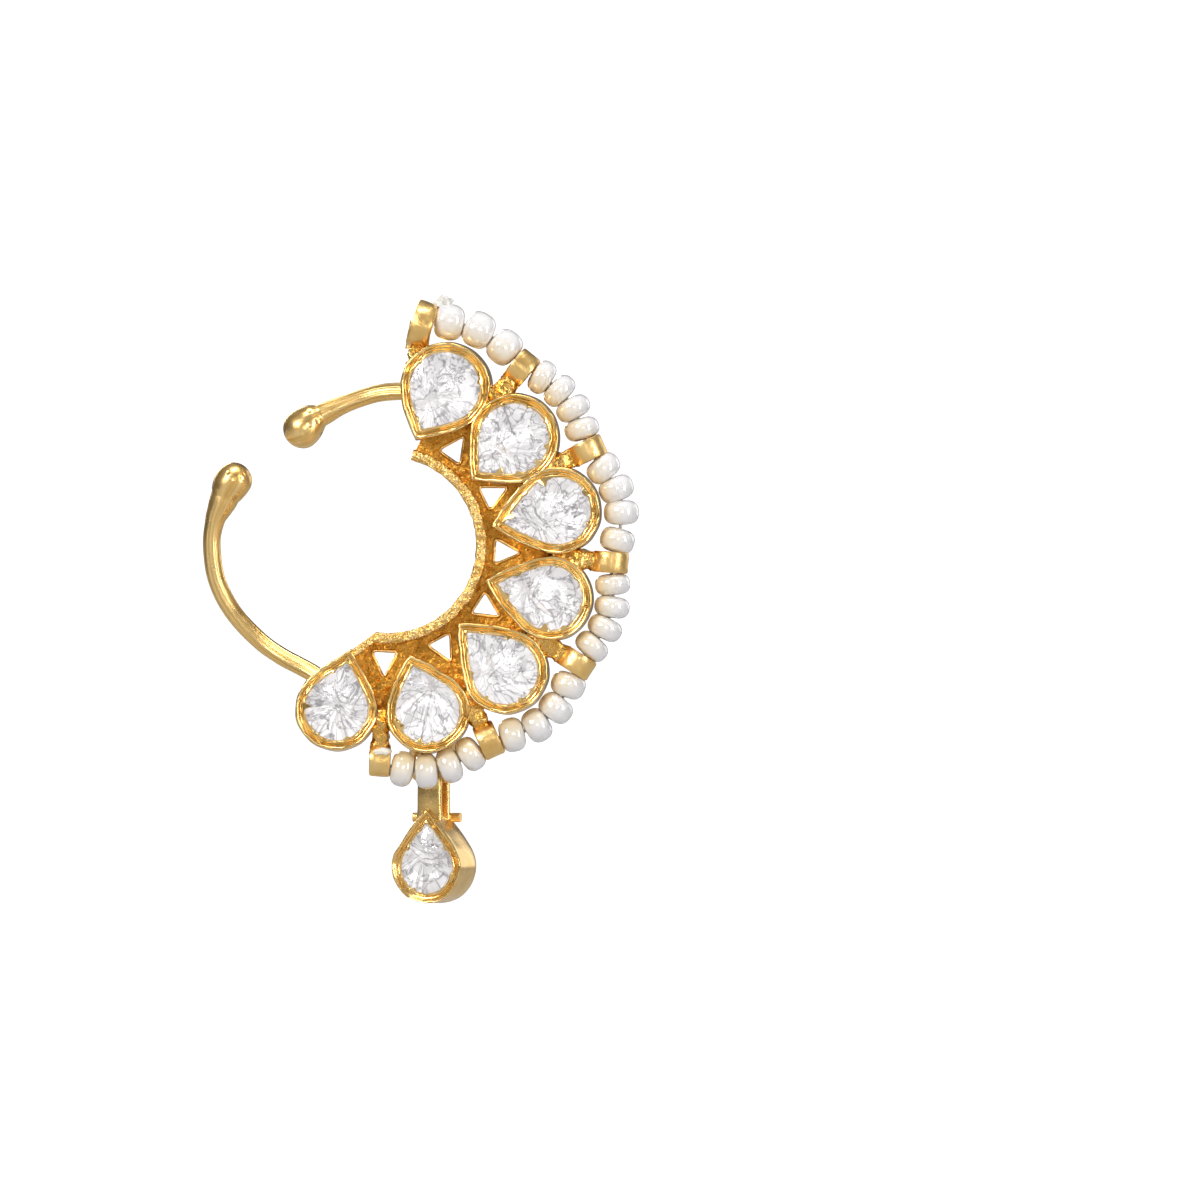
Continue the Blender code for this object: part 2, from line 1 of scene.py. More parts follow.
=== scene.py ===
"""Press-on nose ring: a crescent of stone-set cups edged with seed pearls, an open hoop and a pendant.

Sizes are in millimetres until a mesh is made. The stones face -Y and +Z is up.
Places on the crescent are given by a radius and an angle about the crescent's own centre, and by a
rise: how far they lie in front of the flat back.
"""

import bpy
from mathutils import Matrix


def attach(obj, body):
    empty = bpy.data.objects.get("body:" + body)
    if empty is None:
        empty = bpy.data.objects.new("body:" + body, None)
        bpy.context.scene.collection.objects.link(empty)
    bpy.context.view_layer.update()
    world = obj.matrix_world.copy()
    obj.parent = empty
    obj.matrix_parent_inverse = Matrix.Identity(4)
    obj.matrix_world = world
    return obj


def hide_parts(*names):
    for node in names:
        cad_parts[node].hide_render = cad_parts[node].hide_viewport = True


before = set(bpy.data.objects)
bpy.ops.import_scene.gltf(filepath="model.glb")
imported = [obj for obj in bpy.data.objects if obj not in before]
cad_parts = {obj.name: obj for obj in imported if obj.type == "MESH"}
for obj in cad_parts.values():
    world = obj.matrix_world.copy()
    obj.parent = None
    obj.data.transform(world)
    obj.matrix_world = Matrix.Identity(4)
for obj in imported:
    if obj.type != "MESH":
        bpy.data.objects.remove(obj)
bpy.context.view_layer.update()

import math
from collections import namedtuple
from contextlib import contextmanager

import bmesh
import bpy
from mathutils import Matrix, Vector, noise
from mathutils.geometry import delaunay_2d_cdt

bl_info = {
    "name": "Nose ring with pendant",
    "version": (1, 0, 0),
    "blender": (4, 5, 0),
    "location": "View3D > Sidebar > Nose ring",
    "description": "Models and finishes a gold nose ring with stones, seed pearls and a pendant",
    "category": "Object",
}

MM = 0.001
RING = "ring"
PENDANT = "pendant"
FRAME_NODE = "setting_frame"
FRONT = Vector((0, -1, 0))

# Camera: the middle of the picture, its width, and a long lens from far off
VIEW_X = 19.59
VIEW_Z = -8.59
VIEW_WIDTH = 70.6
VIEW_PLANE_Y = -2.5
CAMERA_AWAY = 700.0
SENSOR = 36.0

# Paper sweep, in metres, and the lights: place, size and glow, aimed at one point
SWEEP_SIZE = 2.4
SWEEP_LEVEL = -0.05
SWEEP_RISE = 1.6
SWEEP_BEND = 0.5
LIGHTS_AIM = (7.0, -2.0, -8.0)
LIGHTS = (
    ("window_left_1", (-300, -330, 200), (80, 170), 15.0),
    ("window_left_2", (-230, -390, 210), (80, 170), 15.0),
    ("window_right", (330, -260, 70), (70, 240), 13.0),
    ("window_top", (40, -80, 340), (220, 110), 9.0),
    ("window_back", (-120, 330, 140), (160, 160), 5.0),
    ("window_back_right", (420, 420, 60), (320, 460), 1.2),
    ("window_front_1", (40, -520, 60), (60, 110), 5.0),
    ("window_front_2", (112, -515, 60), (60, 110), 5.0),
    ("window_low", (-120, -420, -260), (160, 60), 6.0),
)

# Crescent and cups
CRESCENT_X = 7.12
CRESCENT_Z = -5.35
BACK_Y = -0.87
CUP_RADIUS = 2.6
CUP_REACH = 3.6
CUP_CIRCLE_RADIUS = 10.0
CUP_HEIGHT = 2.94
FLANK_RADIUS = 13.0
FIRST_ANGLE = 70.1
CUP_PITCH = 29.58

Cup = namedtuple("Cup", "shift lean outward radius_share reach_share")
CUPS = (
    Cup(0.0, -9.2, -0.15, 1.03, 1.0),
    Cup(-0.4, 3.5, -0.31, 1.03, 0.99),
    Cup(0.5, 2.0, 0.14, 1.0, 1.12),
    Cup(0.5, 3.1, 0.02, 0.97, 1.12),
    Cup(1.0, 1.3, 0.12, 0.98, 1.12),
    Cup(1.3, 4.5, 0.05, 0.96, 0.99),
    Cup(0.0, 4.1, 0.1, 0.95, 1.0),
)

# How far each cup's wall leans out towards its back, and towards which side of the cup
SKIRTS = ((0.16, -45.0), (0.1, 0.0), (0.1, 0.0), (0.1, 0.0), (0.1, 20.0), (0.08, 0.0), (0.08, 0.0))

# A cup wall's section from its back edge round the rim to its inside: inset, height below the rim's
# top (negative) or above the back (positive), slow wave and quick wave of the inset
CUP_SECTION = (
    (0.2, 0.0, 0.0, 0.0), (0.1, 0.03, 0.0, 0.0), (0.04, 0.11, 0.01, 0.0), (0.01, 0.3, 0.02, 0.0),
    (0.0, 0.75, 0.03, 0.0), (0.02, 1.3, 0.03, 0.0), (0.04, 1.9, 0.03, 0.0), (0.05, -0.5, 0.03, 0.0),
    (0.05, -0.2, 0.03, 0.01), (0.06, -0.07, 0.03, 0.01), (0.1, -0.01, 0.03, 0.02),
    (0.16, -0.01, 0.04, 0.02), (0.22, -0.06, 0.04, 0.02), (0.28, -0.15, 0.03, 0.01),
    (0.34, -0.23, 0.02, 0.01), (0.39, -0.24, 0.02, 0.01), (0.44, -0.17, 0.03, 0.02),
    (0.5, -0.12, 0.03, 0.03), (0.55, -0.13, 0.05, 0.03), (0.59, -0.2, 0.05, 0.03),
    (0.64, -0.36, 0.02, 0.02), (0.66, -1.2, 0.0, 0.0),
)
CUP_STEPS = (72, 16)
PUSH_STEP = 0.1

# The rim's teeth over the stone: from which inset, their size, and how much noise makes none
TOOTH_INSET = 0.5
TOOTH_LEVEL = -0.3
TOOTH_GRAIN = 0.42
TOOTH_THRESHOLD = 0.22
TOOTH_PUSH = 0.75
TOOTH_LIFT = 0.3

# Stones and the foil in them, from the middle of their round end. A foil row has its share of the
# way to the border, its number of points and its depth below the rim.
STONE_INSET = 0.62
STONE_MIDDLE = -0.25
STONE_TOP = 0.12
STONE_FLOOR = 1.05
STONE_STEPS = (12, 3)
STONE_SHOULDERS = 9
STONE_PEAKS = 4
STONE_BEVEL = 0.018
FOIL_INSET = 0.63
FOIL_BORDER_DEPTH = 0.42
FOIL_STEPS = (16, 4)
FOIL_ROWS = ((0.78, 10, 0.64), (0.48, 7, 0.74), (0.2, 3, 0.6))

# Back plate, its piercings and the band
PLATE_THICKNESS = 0.6
PLATE_STEP = 0.06
PLATE_OUTER_RADIUS = 9.9
PLATE_STEPS = 60
BAND_INNER_RADIUS = 5.18
BAND_WALL = 0.62
BAND_HEIGHT = 2.12
BAND_START = 75.0
BAND_END = -98.0
BAND_STEPS = 150
BAND_RUN_STEPS = 8
PIERCING_BASE_RADIUS = 6.37
PIERCING_APEX_RADIUS = 7.72
PIERCING_HALF_WIDTH = 0.68
PIERCING_SWELL = 1.2
PIERCING_CORNER = 0.2
LIP_RADIUS = 0.1

# Tubes, string and pearls. A tube has its shift in degrees and its shift outwards; a span has its
# number of pearls, its bow and its pearls' share of the usual width.
TUBE_DIAMETER = 2.12
TUBE_BORE = 1.36
TUBE_LENGTH = 1.24
TUBE_EDGE = 0.12
TUBE_SIDES = 40
STRING_RADIUS = 13.05
STRING_RISE = 1.65
TUBES = ((-3.7, 0.34), (-2.3, 0.14), (-0.4, -0.03), (-0.6, 0.08), (1.4, 0.02), (0.3, -0.12), (0.4, -0.15))
TUBE_TILTS = (9.0, 3.0, 0.0, 0.0, 0.0, 3.0, 0.0)
TUBE_NUDGES = (-0.3, -0.16, -0.05, 0.0, 0.0, 0.0, -0.22)
TUBE_SHARES = (1.28, 1.0, 1.0, 1.0, 1.0, 1.0, 0.9)
SOLDER_START = 9.7
SOLDER_STEPS = 22
SOLDER_FLARE = 1.1
TONGUE_START = 11.6
TONGUE_STEPS = 12
TONGUE_THICKNESS = 0.6
PEARL_DIAMETER = 2.08
PEARL_HOLE = 0.42
PEARL_GAP = 0.08
PEARL_STEPS = 14
PEARL_SIDES = 28
PEARL_NUDGES = {9: -0.05, 10: -0.12, 11: 0.04}
SPANS = ((3, 0.43, 1.04), (4, 0.47, 1.0), (4, 0.82, 1.0), (4, 0.6, 1.0), (4, 0.82, 1.0), (4, 0.6, 1.02))
THREAD_RADIUS = 0.1

# Glue and thread turns: name, middle, size, seed, roughness and finish
LUMPS = (
    ("thread_wrap", (6.7, -2.9, -17.54), (1.34, 1.15, 0.6), 4.0, 0.12, "cotton_thread"),
    ("glue_top", (10.4, -2.3, 8.85), (1.15, 1.0, 0.85), 1.0, 0.32, "dry_glue"),
)

# Hoop wires: angle, radius and how far behind the flat back, as a share of the bow
HOOP_BOW = 1.75
UPPER_BALL = 2.35
LOWER_BALL = 2.15
UPPER_WIRE = (
    (83.8, 9.14, -0.15), (91.5, 9.02, 0.12), (97.3, 8.91, 0.27), (106.5, 8.73, 0.3), (115.2, 8.65, 0.29),
    (126.3, 8.54, 0.27),
)
LOWER_WIRE = (
    (-110.1, 9.08, -0.15), (-121.0, 8.79, 0.27), (-134.1, 9.13, 0.57), (-144.0, 9.51, 0.81),
    (-156.4, 10.01, 1.0), (-168.2, 10.38, 0.98), (-179.7, 10.47, 0.88), (-187.8, 10.39, 0.81),
    (-193.0, 10.2, 0.76), (-202.6, 9.94, 0.73),
)
WIRE_SIDES = 24
BALL_STEPS = 18
BALL_START = 0.8

# Pendant, about the middle of the wire it hangs on
LOOP_X = 9.79
LOOP_Z = -19.0
LOOP_BEHIND = 0.59
LOOP_WIRE = 0.76
LOOP_HALF_WIDTH = 1.18
LOOP_LEG = 2.05
LOOP_ROOT = 0.75
PENDANT_TURN = -17.7
BAIL_WALL = 0.38
BAIL_WIDTH = 1.44
BAIL_SKEW = 0.05
BAIL_PLAY = 0.1
BAIL_BORE = 1.44
BAIL_FOOT = 2.2
BAIL_CROWN = 0.12
BAIL_FLARE = 0.06
BAIL_STEPS = 18
PENDANT_DROP = 1.84
PENDANT_RADIUS = 2.18
PENDANT_REACH = 3.48
PENDANT_DEPTH = 3.18
PENDANT_SEED = 31.0
TAB_ENDS = (-1.7, 1.25)
TAB_START = 0.4
TAB_FROM_TIP = 2.44
TAB_LEVEL = 0.32


# ---------------------------------------------------------------- places on the ring

def on_crescent(radius, angle, rise):
    """The point at this radius and angle about the crescent's centre, in front of the flat back."""
    turn = math.radians(angle)
    return Vector((CRESCENT_X + radius * math.cos(turn), BACK_Y - rise, CRESCENT_Z + radius * math.sin(turn)))


def facing_front(origin, angle):
    """Matrix that lays a flat outline in the crescent's plane: its X at the angle, its Z to the front."""
    turn = math.radians(angle)
    along = Vector((math.cos(turn), 0, math.sin(turn)))
    across = Vector((-math.sin(turn), 0, math.cos(turn)))
    return Matrix.Translation(origin) @ Matrix((along, across, FRONT)).transposed().to_4x4()


def cup_angle(index):
    return FIRST_ANGLE - index * CUP_PITCH + CUPS[index].shift


def last_tip_radius():
    """How far the last cup's tip lies from the crescent's centre."""
    return CUP_CIRCLE_RADIUS + CUPS[-1].outward - CUP_REACH * CUPS[-1].reach_share


def tube_angle(index):
    start = FIRST_ANGLE + CUP_PITCH / 2 if index == 0 else FIRST_ANGLE - (index - 0.5) * CUP_PITCH
    return start + TUBES[index][0]


def tube_radius(index):
    return STRING_RADIUS + TUBES[index][1]


def string_point(span, share):
    """A point on the string between two tubes, which bows outwards between them."""
    start, end = tube_angle(span), tube_angle(span + 1)
    radius = tube_radius(span) * (1 - share) + tube_radius(span + 1) * share
    bow = SPANS[span][1] * math.sin(math.pi * share) ** 1.3
    return on_crescent(radius + bow, start + (end - start) * share, STRING_RISE)


def along_axis(origin, direction):
    return Matrix.Translation(origin) @ direction.to_track_quat("Z", "Y").to_matrix().to_4x4()


def pendant_matrix():
    """The pendant's own frame: X along the wire it hangs on, -Y to its front."""
    centre = Vector((LOOP_X, BACK_Y + LOOP_BEHIND, LOOP_Z))
    return Matrix.Translation(centre) @ Matrix.Rotation(math.radians(PENDANT_TURN), 4, "Z")


def pendant_cup_matrix():
    """The pendant cup's frame: its tip up, its Z to the front."""
    rows = (
        (0, 1, 0, 0),
        (0, 0, -1, PENDANT_DEPTH / 2),
        (-1, 0, 0, -PENDANT_DROP - PENDANT_REACH),
        (0, 0, 0, 1),
    )
    return pendant_matrix() @ Matrix(rows)


def smooth_path(points, steps):
    """Points along a smooth curve that passes through the given ones."""
    ends = [2 * points[0] - points[1]] + list(points) + [2 * points[-1] - points[-2]]
    path = []
    for before, start, end, after in zip(ends, ends[1:], ends[2:], ends[3:]):
        for step in range(steps):
            t = step / steps
            path.append(0.5 * (
                2 * start + (end - before) * t + (2 * before - 5 * start + 4 * end - after) * t**2
                + (3 * start - before - 3 * end + after) * t**3
            ))
    path.append(points[-1])
    return path


def pear(radius, reach, inset, arc_steps, flank_steps):
    """A pear's outline with its body at the middle and its tip at -X, moved inwards by the inset."""
    flank = FLANK_RADIUS
    centre_x = (2 * flank * radius - radius**2 - reach**2) / (2 * reach)
    centre_y = math.sqrt((flank - radius) ** 2 - centre_x**2)
    touch = math.atan2(centre_y, -centre_x)
    tip = centre_x - math.sqrt((flank - inset) ** 2 - centre_y**2)
    tip_turn = math.atan2(centre_y, tip - centre_x)
    upper = []
    for step in range(flank_steps):
        turn = tip_turn + (touch - tip_turn) * step / flank_steps
        upper.append((centre_x + (flank - inset) * math.cos(turn), -centre_y + (flank - inset) * math.sin(turn)))
    for step in range(arc_steps // 2):
        turn = touch * (1 - 2 * step / arc_steps)
        upper.append(((radius - inset) * math.cos(turn), (radius - inset) * math.sin(turn)))
    lower = [(x, -y) for x, y in reversed(upper[1:])]
    return upper + [(radius - inset, 0.0)] + lower


def round_section(width, height, corner, steps=3):
    """A rectangle with rounded corners about its middle."""
    points = []
    for quarter, (sx, sy) in enumerate(((1, 1), (-1, 1), (-1, -1), (1, -1))):
        for step in range(steps + 1):
            turn = math.pi / 2 * (quarter + step / steps)
            points.append((
                sx * (width / 2 - corner) + corner * math.cos(turn),
                sy * (height / 2 - corner) + corner * math.sin(turn),
            ))
    return points


def circle_section(radius, sides):
    turns = [math.tau * i / sides for i in range(sides)]
    return [(radius * math.cos(turn), radius * math.sin(turn)) for turn in turns]


def rounded_triangle(corners, corner_share, steps=5):
    """A triangle's outline with its corners rounded off."""
    points = []
    for i, here in enumerate(corners):
        before, after = corners[i - 1], corners[(i + 1) % 3]
        start = here.lerp(before, corner_share)
        end = here.lerp(after, corner_share)
        for step in range(steps + 1):
            t = step / steps
            points.append(start * (1 - t) ** 2 + here * 2 * t * (1 - t) + end * t**2)
    return points


def uneven(point, grain, depth, seed=0.0):
    """A smooth random number for this place, for hand-made edges."""
    x, y, z = point
    return noise.noise(Vector((x / grain + seed, y / grain - seed, z / grain + seed * 0.7))) * depth


# ---------------------------------------------------------------- bench tools

def clear_selection():
    if bpy.context.object and bpy.context.object.mode != "OBJECT":
        bpy.ops.object.mode_set(mode="OBJECT")
    bpy.ops.object.select_all(action="DESELECT")


def start_piece(name):
    """Names the primitive that was just added."""
    made = bpy.context.active_object
    made.name = made.data.name = name
    return made


def start_circle(name, points):
    """A circle with one corner for each point, each moved to its point."""
    clear_selection()
    bpy.ops.mesh.primitive_circle_add(vertices=len(points), radius=MM)
    made = start_piece(name)
    for vert, point in zip(made.data.vertices, points):
        vert.co = Vector(point) * MM
    return made


@contextmanager
def editing():
    """Edit mode with everything selected."""
    bpy.ops.object.mode_set(mode="EDIT")
    bpy.ops.mesh.select_all(action="SELECT")
    yield
    bpy.ops.object.mode_set(mode="OBJECT")


def turn_faces_outward():
    bpy.ops.mesh.select_all(action="SELECT")
    bpy.ops.mesh.normals_make_consistent(inside=False)


def close_end(made, corners):
    """Fills the ring of these vertices with a flat face."""
    bpy.ops.mesh.select_all(action="DESELECT")
    shell = bmesh.from_edit_mesh(made.data)
    shell.verts.ensure_lookup_table()
    for corner in corners:
        shell.verts[corner].select_set(True)
    shell.select_flush(True)
    bmesh.update_edit_mesh(made.data)
    bpy.ops.mesh.edge_face_add()


def lofted(name, rings, joined=False, sharp=50.0):
    """Extrudes a circle ring by ring through the given points, then closes and smooths it."""
    sides = len(rings[0])
    made = start_circle(name, rings[0])
    spots = [(0, corner) for corner in range(sides)]
    with editing():
        bpy.ops.mesh.select_mode(type="VERT")
        bpy.ops.mesh.select_all(action="SELECT")
        for number, ring in enumerate(rings[1:] + ([rings[0]] if joined else []), start=1):
            bpy.ops.mesh.extrude_region_move()
            shell = bmesh.from_edit_mesh(made.data)
            shell.verts.ensure_lookup_table()
            shell.verts.index_update()
            first = len(shell.verts) - sides
            for vert in shell.verts[first:]:
                corner = next(
                    spots[edge.other_vert(vert).index][1]
                    for edge in vert.link_edges
                    if edge.other_vert(vert).index < first
                )
                spots.append((number, corner))
            for vert in shell.verts[first:]:
                vert.co = Vector(ring[spots[vert.index][1]]) * MM
        bmesh.update_edit_mesh(made.data)
        if joined:
            bpy.ops.mesh.select_all(action="SELECT")
            bpy.ops.mesh.remove_doubles(threshold=MM * 0.001)
        else:
            close_end(made, range(sides))
            close_end(made, range(len(rings) * sides - sides, len(rings) * sides))
        turn_faces_outward()
    if not joined:
        unwrap_by_rows(made, rings, spots)
    bpy.ops.object.shade_smooth_by_angle(angle=math.radians(sharp))
    return made


def unwrap_by_rows(made, rings, spots):
    """A UV map that runs round the piece in U and along it, in millimetres, in V."""
    centres = [sum((Vector(p) for p in ring), Vector()) / len(ring) for ring in rings]
    along = [0.0]
    for before, after in zip(centres, centres[1:]):
        along.append(along[-1] + (after - before).length)
    sides = len(rings[0])
    layer = made.data.uv_layers.active or made.data.uv_layers.new(name="rows")
    for face in made.data.polygons:
        corners = [spots[made.data.loops[i].vertex_index] for i in face.loop_indices]
        wraps = {0, sides - 1} <= {corner for _, corner in corners} and len(corners) == 4
        for loop, (ring, corner) in zip(face.loop_indices, corners):
            u = 1.0 if wraps and corner == 0 else corner / sides
            layer.data[loop].uv = (u, along[ring])


def swept(name, path, section_at, up, joined=False, sharp=50.0):
    """A section carried along a path. section_at(share) gives its points, across and along up."""
    rings = []
    for i, place in enumerate(path):
        before = path[i - 1] if i or joined else path[i]
        after = path[(i + 1) % len(path)] if i + 1 < len(path) or joined else path[i]
        ahead = (after - before).normalized()
        across = ahead.cross(up).normalized()
        level = across.cross(ahead).normalized()
        section = section_at(i / max(1, len(path) - 1))
        rings.append([place + across * x + level * y for x, y in section])
    return lofted(name, rings, joined, sharp)


def hammered(made, grain, depth, seed):
    """Pushes every point of a piece in or out a little, as hand work leaves it."""
    normals = [vert.normal.copy() for vert in made.data.vertices]
    for vert, normal in zip(made.data.vertices, normals):
        vert.co += normal * uneven(vert.co / MM, grain, depth, seed) * MM
    made.data.update()


def lump(name, centre, size, seed, rough):
    """A drop of glue or a knot of thread: a ball squashed to its size and worked uneven."""
    clear_selection()
    centre = Vector(centre) * MM
    bpy.ops.mesh.primitive_ico_sphere_add(subdivisions=4, radius=0.5 * MM, location=centre)
    made = start_piece(name)
    with editing():
        bpy.ops.transform.resize(value=size, center_override=centre)
    bpy.ops.object.transform_apply(location=True, rotation=True, scale=True)
    hammered(made, 0.35, rough, seed)
    hammered(made, 0.13, rough * 0.35, seed + 3)
    bpy.ops.object.shade_smooth()
    return made


def finish_piece(made, body, slot, look, *nodes):
    """Gives a piece its material and its body, and hides the CAD nodes that it stands for. Its slot is not used."""
    made.data.materials.clear()
    made.data.materials.append(bpy.data.materials[look])
    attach(made, body)
    if nodes:
        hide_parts(*nodes)


# ---------------------------------------------------------------- shader tools

def feed(tree, node, values):
    """Sets a node's sockets, each to a number or a colour, or links it to another node's output."""
    for label, value in values.items():
        if isinstance(value, bpy.types.NodeSocket):
            tree.links.new(value, node.inputs[label])
        else:
            node.inputs[label].default_value = value


def add_node(tree, kind, values=None, **choices):
    node = tree.nodes.new(kind)
    for key, choice in choices.items():
        setattr(node, key, choice)
    feed(tree, node, values or {})
    return node


def noise_at(tree, vector, scale, detail=2.0, distortion=0.0):
    values = {"Vector": vector, "Scale": scale, "Detail": detail, "Distortion": distortion}
    return add_node(tree, "ShaderNodeTexNoise", values).outputs["Fac"]


def cells_at(tree, vector, scale, output="Distance", **choices):
    return add_node(tree, "ShaderNodeTexVoronoi", {"Vector": vector, "Scale": scale}, **choices).outputs[output]


def math_node(tree, operation, *values):
    return add_node(tree, "ShaderNodeMath", dict(enumerate(values)), operation=operation).outputs[0]


def vector_node(tree, operation, *values, output="Vector"):
    node = add_node(tree, "ShaderNodeVectorMath", dict(enumerate(values)), operation=operation)
    return node.outputs[output]


def product(tree, first, *others):
    for other in others:
        first = math_node(tree, "MULTIPLY", first, other)
    return first


def weighed(tree, *terms):
    """The sum of some outputs, each times its share."""
    parts = [product(tree, value, share) for value, share in terms]
    total = parts[0]
    for part in parts[1:]:
        total = math_node(tree, "ADD", total, part)
    return total


def from_middle(tree, value):
    """How far a noise is from its middle value: a thin line where it is near 0."""
    return math_node(tree, "ABSOLUTE", math_node(tree, "SUBTRACT", value, 0.5))


def spread(tree, value, low, high, to_low=0.0, to_high=1.0):
    """Maps a value from one range to another, held to its ends."""
    values = {"Value": value, "From Min": low, "From Max": high, "To Min": to_low, "To Max": to_high}
    return add_node(tree, "ShaderNodeMapRange", values).outputs["Result"]


def mixed_colour(tree, factor, first, second):
    """A colour between two, by the factor. Sockets 6 and 7 and output 2 are the mix node's colours."""
    values = {"Factor": factor, 6: (*first, 1.0), 7: (*second, 1.0)}
    return add_node(tree, "ShaderNodeMix", values, data_type="RGBA").outputs[2]


def bump(tree, height, distance):
    return add_node(tree, "ShaderNodeBump", {"Height": height, "Distance": distance, "Strength": 1.0}).outputs["Normal"]


def new_material(name):
    made = bpy.data.materials.new(name)
    made.use_nodes = True
    tree = made.node_tree
    return tree, tree.nodes["Principled BSDF"], add_node(tree, "ShaderNodeTexCoord").outputs["Object"]


def build_satin_group():
    """Satin metal: cloudy shade, fine scratches and small pits."""
    group = bpy.data.node_groups.new("satin_wear", "ShaderNodeTree")
    for label, kind in (("Vector", "NodeSocketVector"), ("Cloud", "NodeSocketFloat"), ("Grain", "NodeSocketFloat")):
        group.interface.new_socket(name=label, in_out="INPUT", socket_type=kind)
    for label in ("Shade", "Roughness", "Height"):
        group.interface.new_socket(name=label, in_out="OUTPUT", socket_type="NodeSocketFloat")
    given = group.nodes.new("NodeGroupInput").outputs
    cloud = noise_at(group, given["Vector"], given["Cloud"], 3.0)
    grain = noise_at(group, given["Vector"], given["Grain"])
    pit = spread(group, cells_at(group, given["Vector"], given["Cloud"]), 0.02, 0.22)
    feed(group, group.nodes.new("NodeGroupOutput"), {
        "Shade": spread(group, cloud, 0.3, 0.7),
        "Roughness": spread(group, grain, 0.3, 0.75),
        "Height": weighed(group, (cloud, 2.2), (grain, 0.25), (pit, 0.3)),
    })


# ---------------------------------------------------------------- materials

def gold_finish(name, light, deep, rough, cloud, grain, depth):
    """Gold with cloudy satin wear. rough is its lowest and highest roughness."""
    tree, shader, place = new_material(name)
    values = {"Vector": place, "Cloud": cloud, "Grain": grain}
    wear = add_node(tree, "ShaderNodeGroup", values, node_tree=bpy.data.node_groups["satin_wear"]).outputs
    feed(tree, shader, {
        "Metallic": 1.0,
        "Base Color": mixed_colour(tree, wear["Shade"], deep, light),
        "Roughness": spread(tree, wear["Roughness"], 0.0, 1.0, *rough),
        "Normal": bump(tree, wear["Height"], depth),
    })


def drawn_gold(name, light, deep, balls):
    """Drawn wire: lines that run along it, from the piece's own UV map, deep in colour in their grooves and pale on
    their ridges as painted shade and painted highlights, and pits in place of them on the balls.
    """
    tree, shader, place = new_material(name)
    uv = add_node(tree, "ShaderNodeUVMap").outputs["UV"]
    stretch = add_node(tree, "ShaderNodeMapping", {"Vector": uv, "Scale": (19.0, 0.07, 1.0)})
    lines = noise_at(tree, stretch.outputs["Vector"], 1.0, 1.0)
    cloud = noise_at(tree, place, 1100.0, 3.0)
    away = [vector_node(tree, "DISTANCE", place, ball * MM, output="Value") for ball in balls]
    drawn = product(tree, *(spread(tree, value, 1.1 * MM, 1.9 * MM, 0.08, 1.0) for value in away))
    pit = spread(tree, cells_at(tree, place, 1500.0), 0.05, 0.3, 0.0, 0.55)
    height = weighed(tree, (lines, drawn), (cloud, 0.12), (pit, math_node(tree, "SUBTRACT", 1.08, drawn)))
    feed(tree, shader, {
        "Metallic": 1.0,
        # Painted shade and painted highlights: the colour follows the drawn lines, deep in the grooves and pale on the
        # ridges
        "Base Color": mixed_colour(tree, spread(tree, lines, 0.36, 0.6), deep, light),
        "Roughness": spread(tree, cloud, 0.3, 0.7, 0.24, 0.38),
        "Normal": bump(tree, height, 0.00013),
    })


def clear_finish(name, tint):
    """Clear stone with faintly wavy faces."""
    tree, shader, place = new_material(name)
    feed(tree, shader, {
        "Base Color": (*tint, 1.0),
        "Transmission Weight": 1.0,
        "IOR": 1.5,
        "Roughness": spread(tree, noise_at(tree, place, 7000.0, 1.0), 0.3, 0.8, 0.0, 0.02),
        "Normal": bump(tree, noise_at(tree, place, 800.0, 1.0, 1.5), 0.00002),
    })


def foil_finish(name, light, dark):
    """Silver foil in a stone, with painted light: pale patches that are painted reflections of cut faces, painted shade
    along creases across them and out from the middle, and a painted glow.
    """
    tree, shader, place = new_material(name)
    uv = add_node(tree, "ShaderNodeUVMap").outputs["UV"]
    away = vector_node(tree, "LENGTH", uv, output="Value")
    lift = add_node(tree, "ShaderNodeCombineXYZ", {"Z": product(tree, away, 0.14)}).outputs["Vector"]
    turn = vector_node(tree, "ADD", vector_node(tree, "NORMALIZE", uv), lift)
    near = vector_node(tree, "MULTIPLY_ADD", place, (130.0, 130.0, 130.0), turn)
    rays = noise_at(tree, near, 4.6, 2.0, 0.3)
    creases = noise_at(tree, place, 620.0, 3.0, 1.4)
    edges = cells_at(tree, place, 700.0, feature="DISTANCE_TO_EDGE")
    cells = cells_at(tree, place, 1000.0, "Color")
    shade = add_node(tree, "ShaderNodeSeparateColor", {"Color": cells}).outputs["Red"]
    # Painted shade and painted reflections: the foil colour is deepened along the creases and the rays, at the cell
    # edges and in some cells, and left pale elsewhere
    painted_shade_rows = (
        (from_middle(tree, creases), 0.004, 0.03, 0.28),
        (from_middle(tree, rays), 0.003, 0.034, 0.34),
        (edges, 0.004, 0.04, 0.74),
        (shade, 0.0, 1.0, 0.74),
        (rays, 0.35, 0.65, 0.82),
    )
    tint = mixed_colour(tree, product(tree, *(spread(tree, *row) for row in painted_shade_rows)), dark, light)
    feed(tree, shader, {
        "Metallic": 0.45,
        "Roughness": 0.24,
        # Painted glow: the foil gives off its own colour though it is no lamp
        "Emission Strength": 0.48,
        "Base Color": tint,
        "Emission Color": tint,
        "Normal": bump(tree, math_node(tree, "ADD", creases, rays), 0.0001),
    })


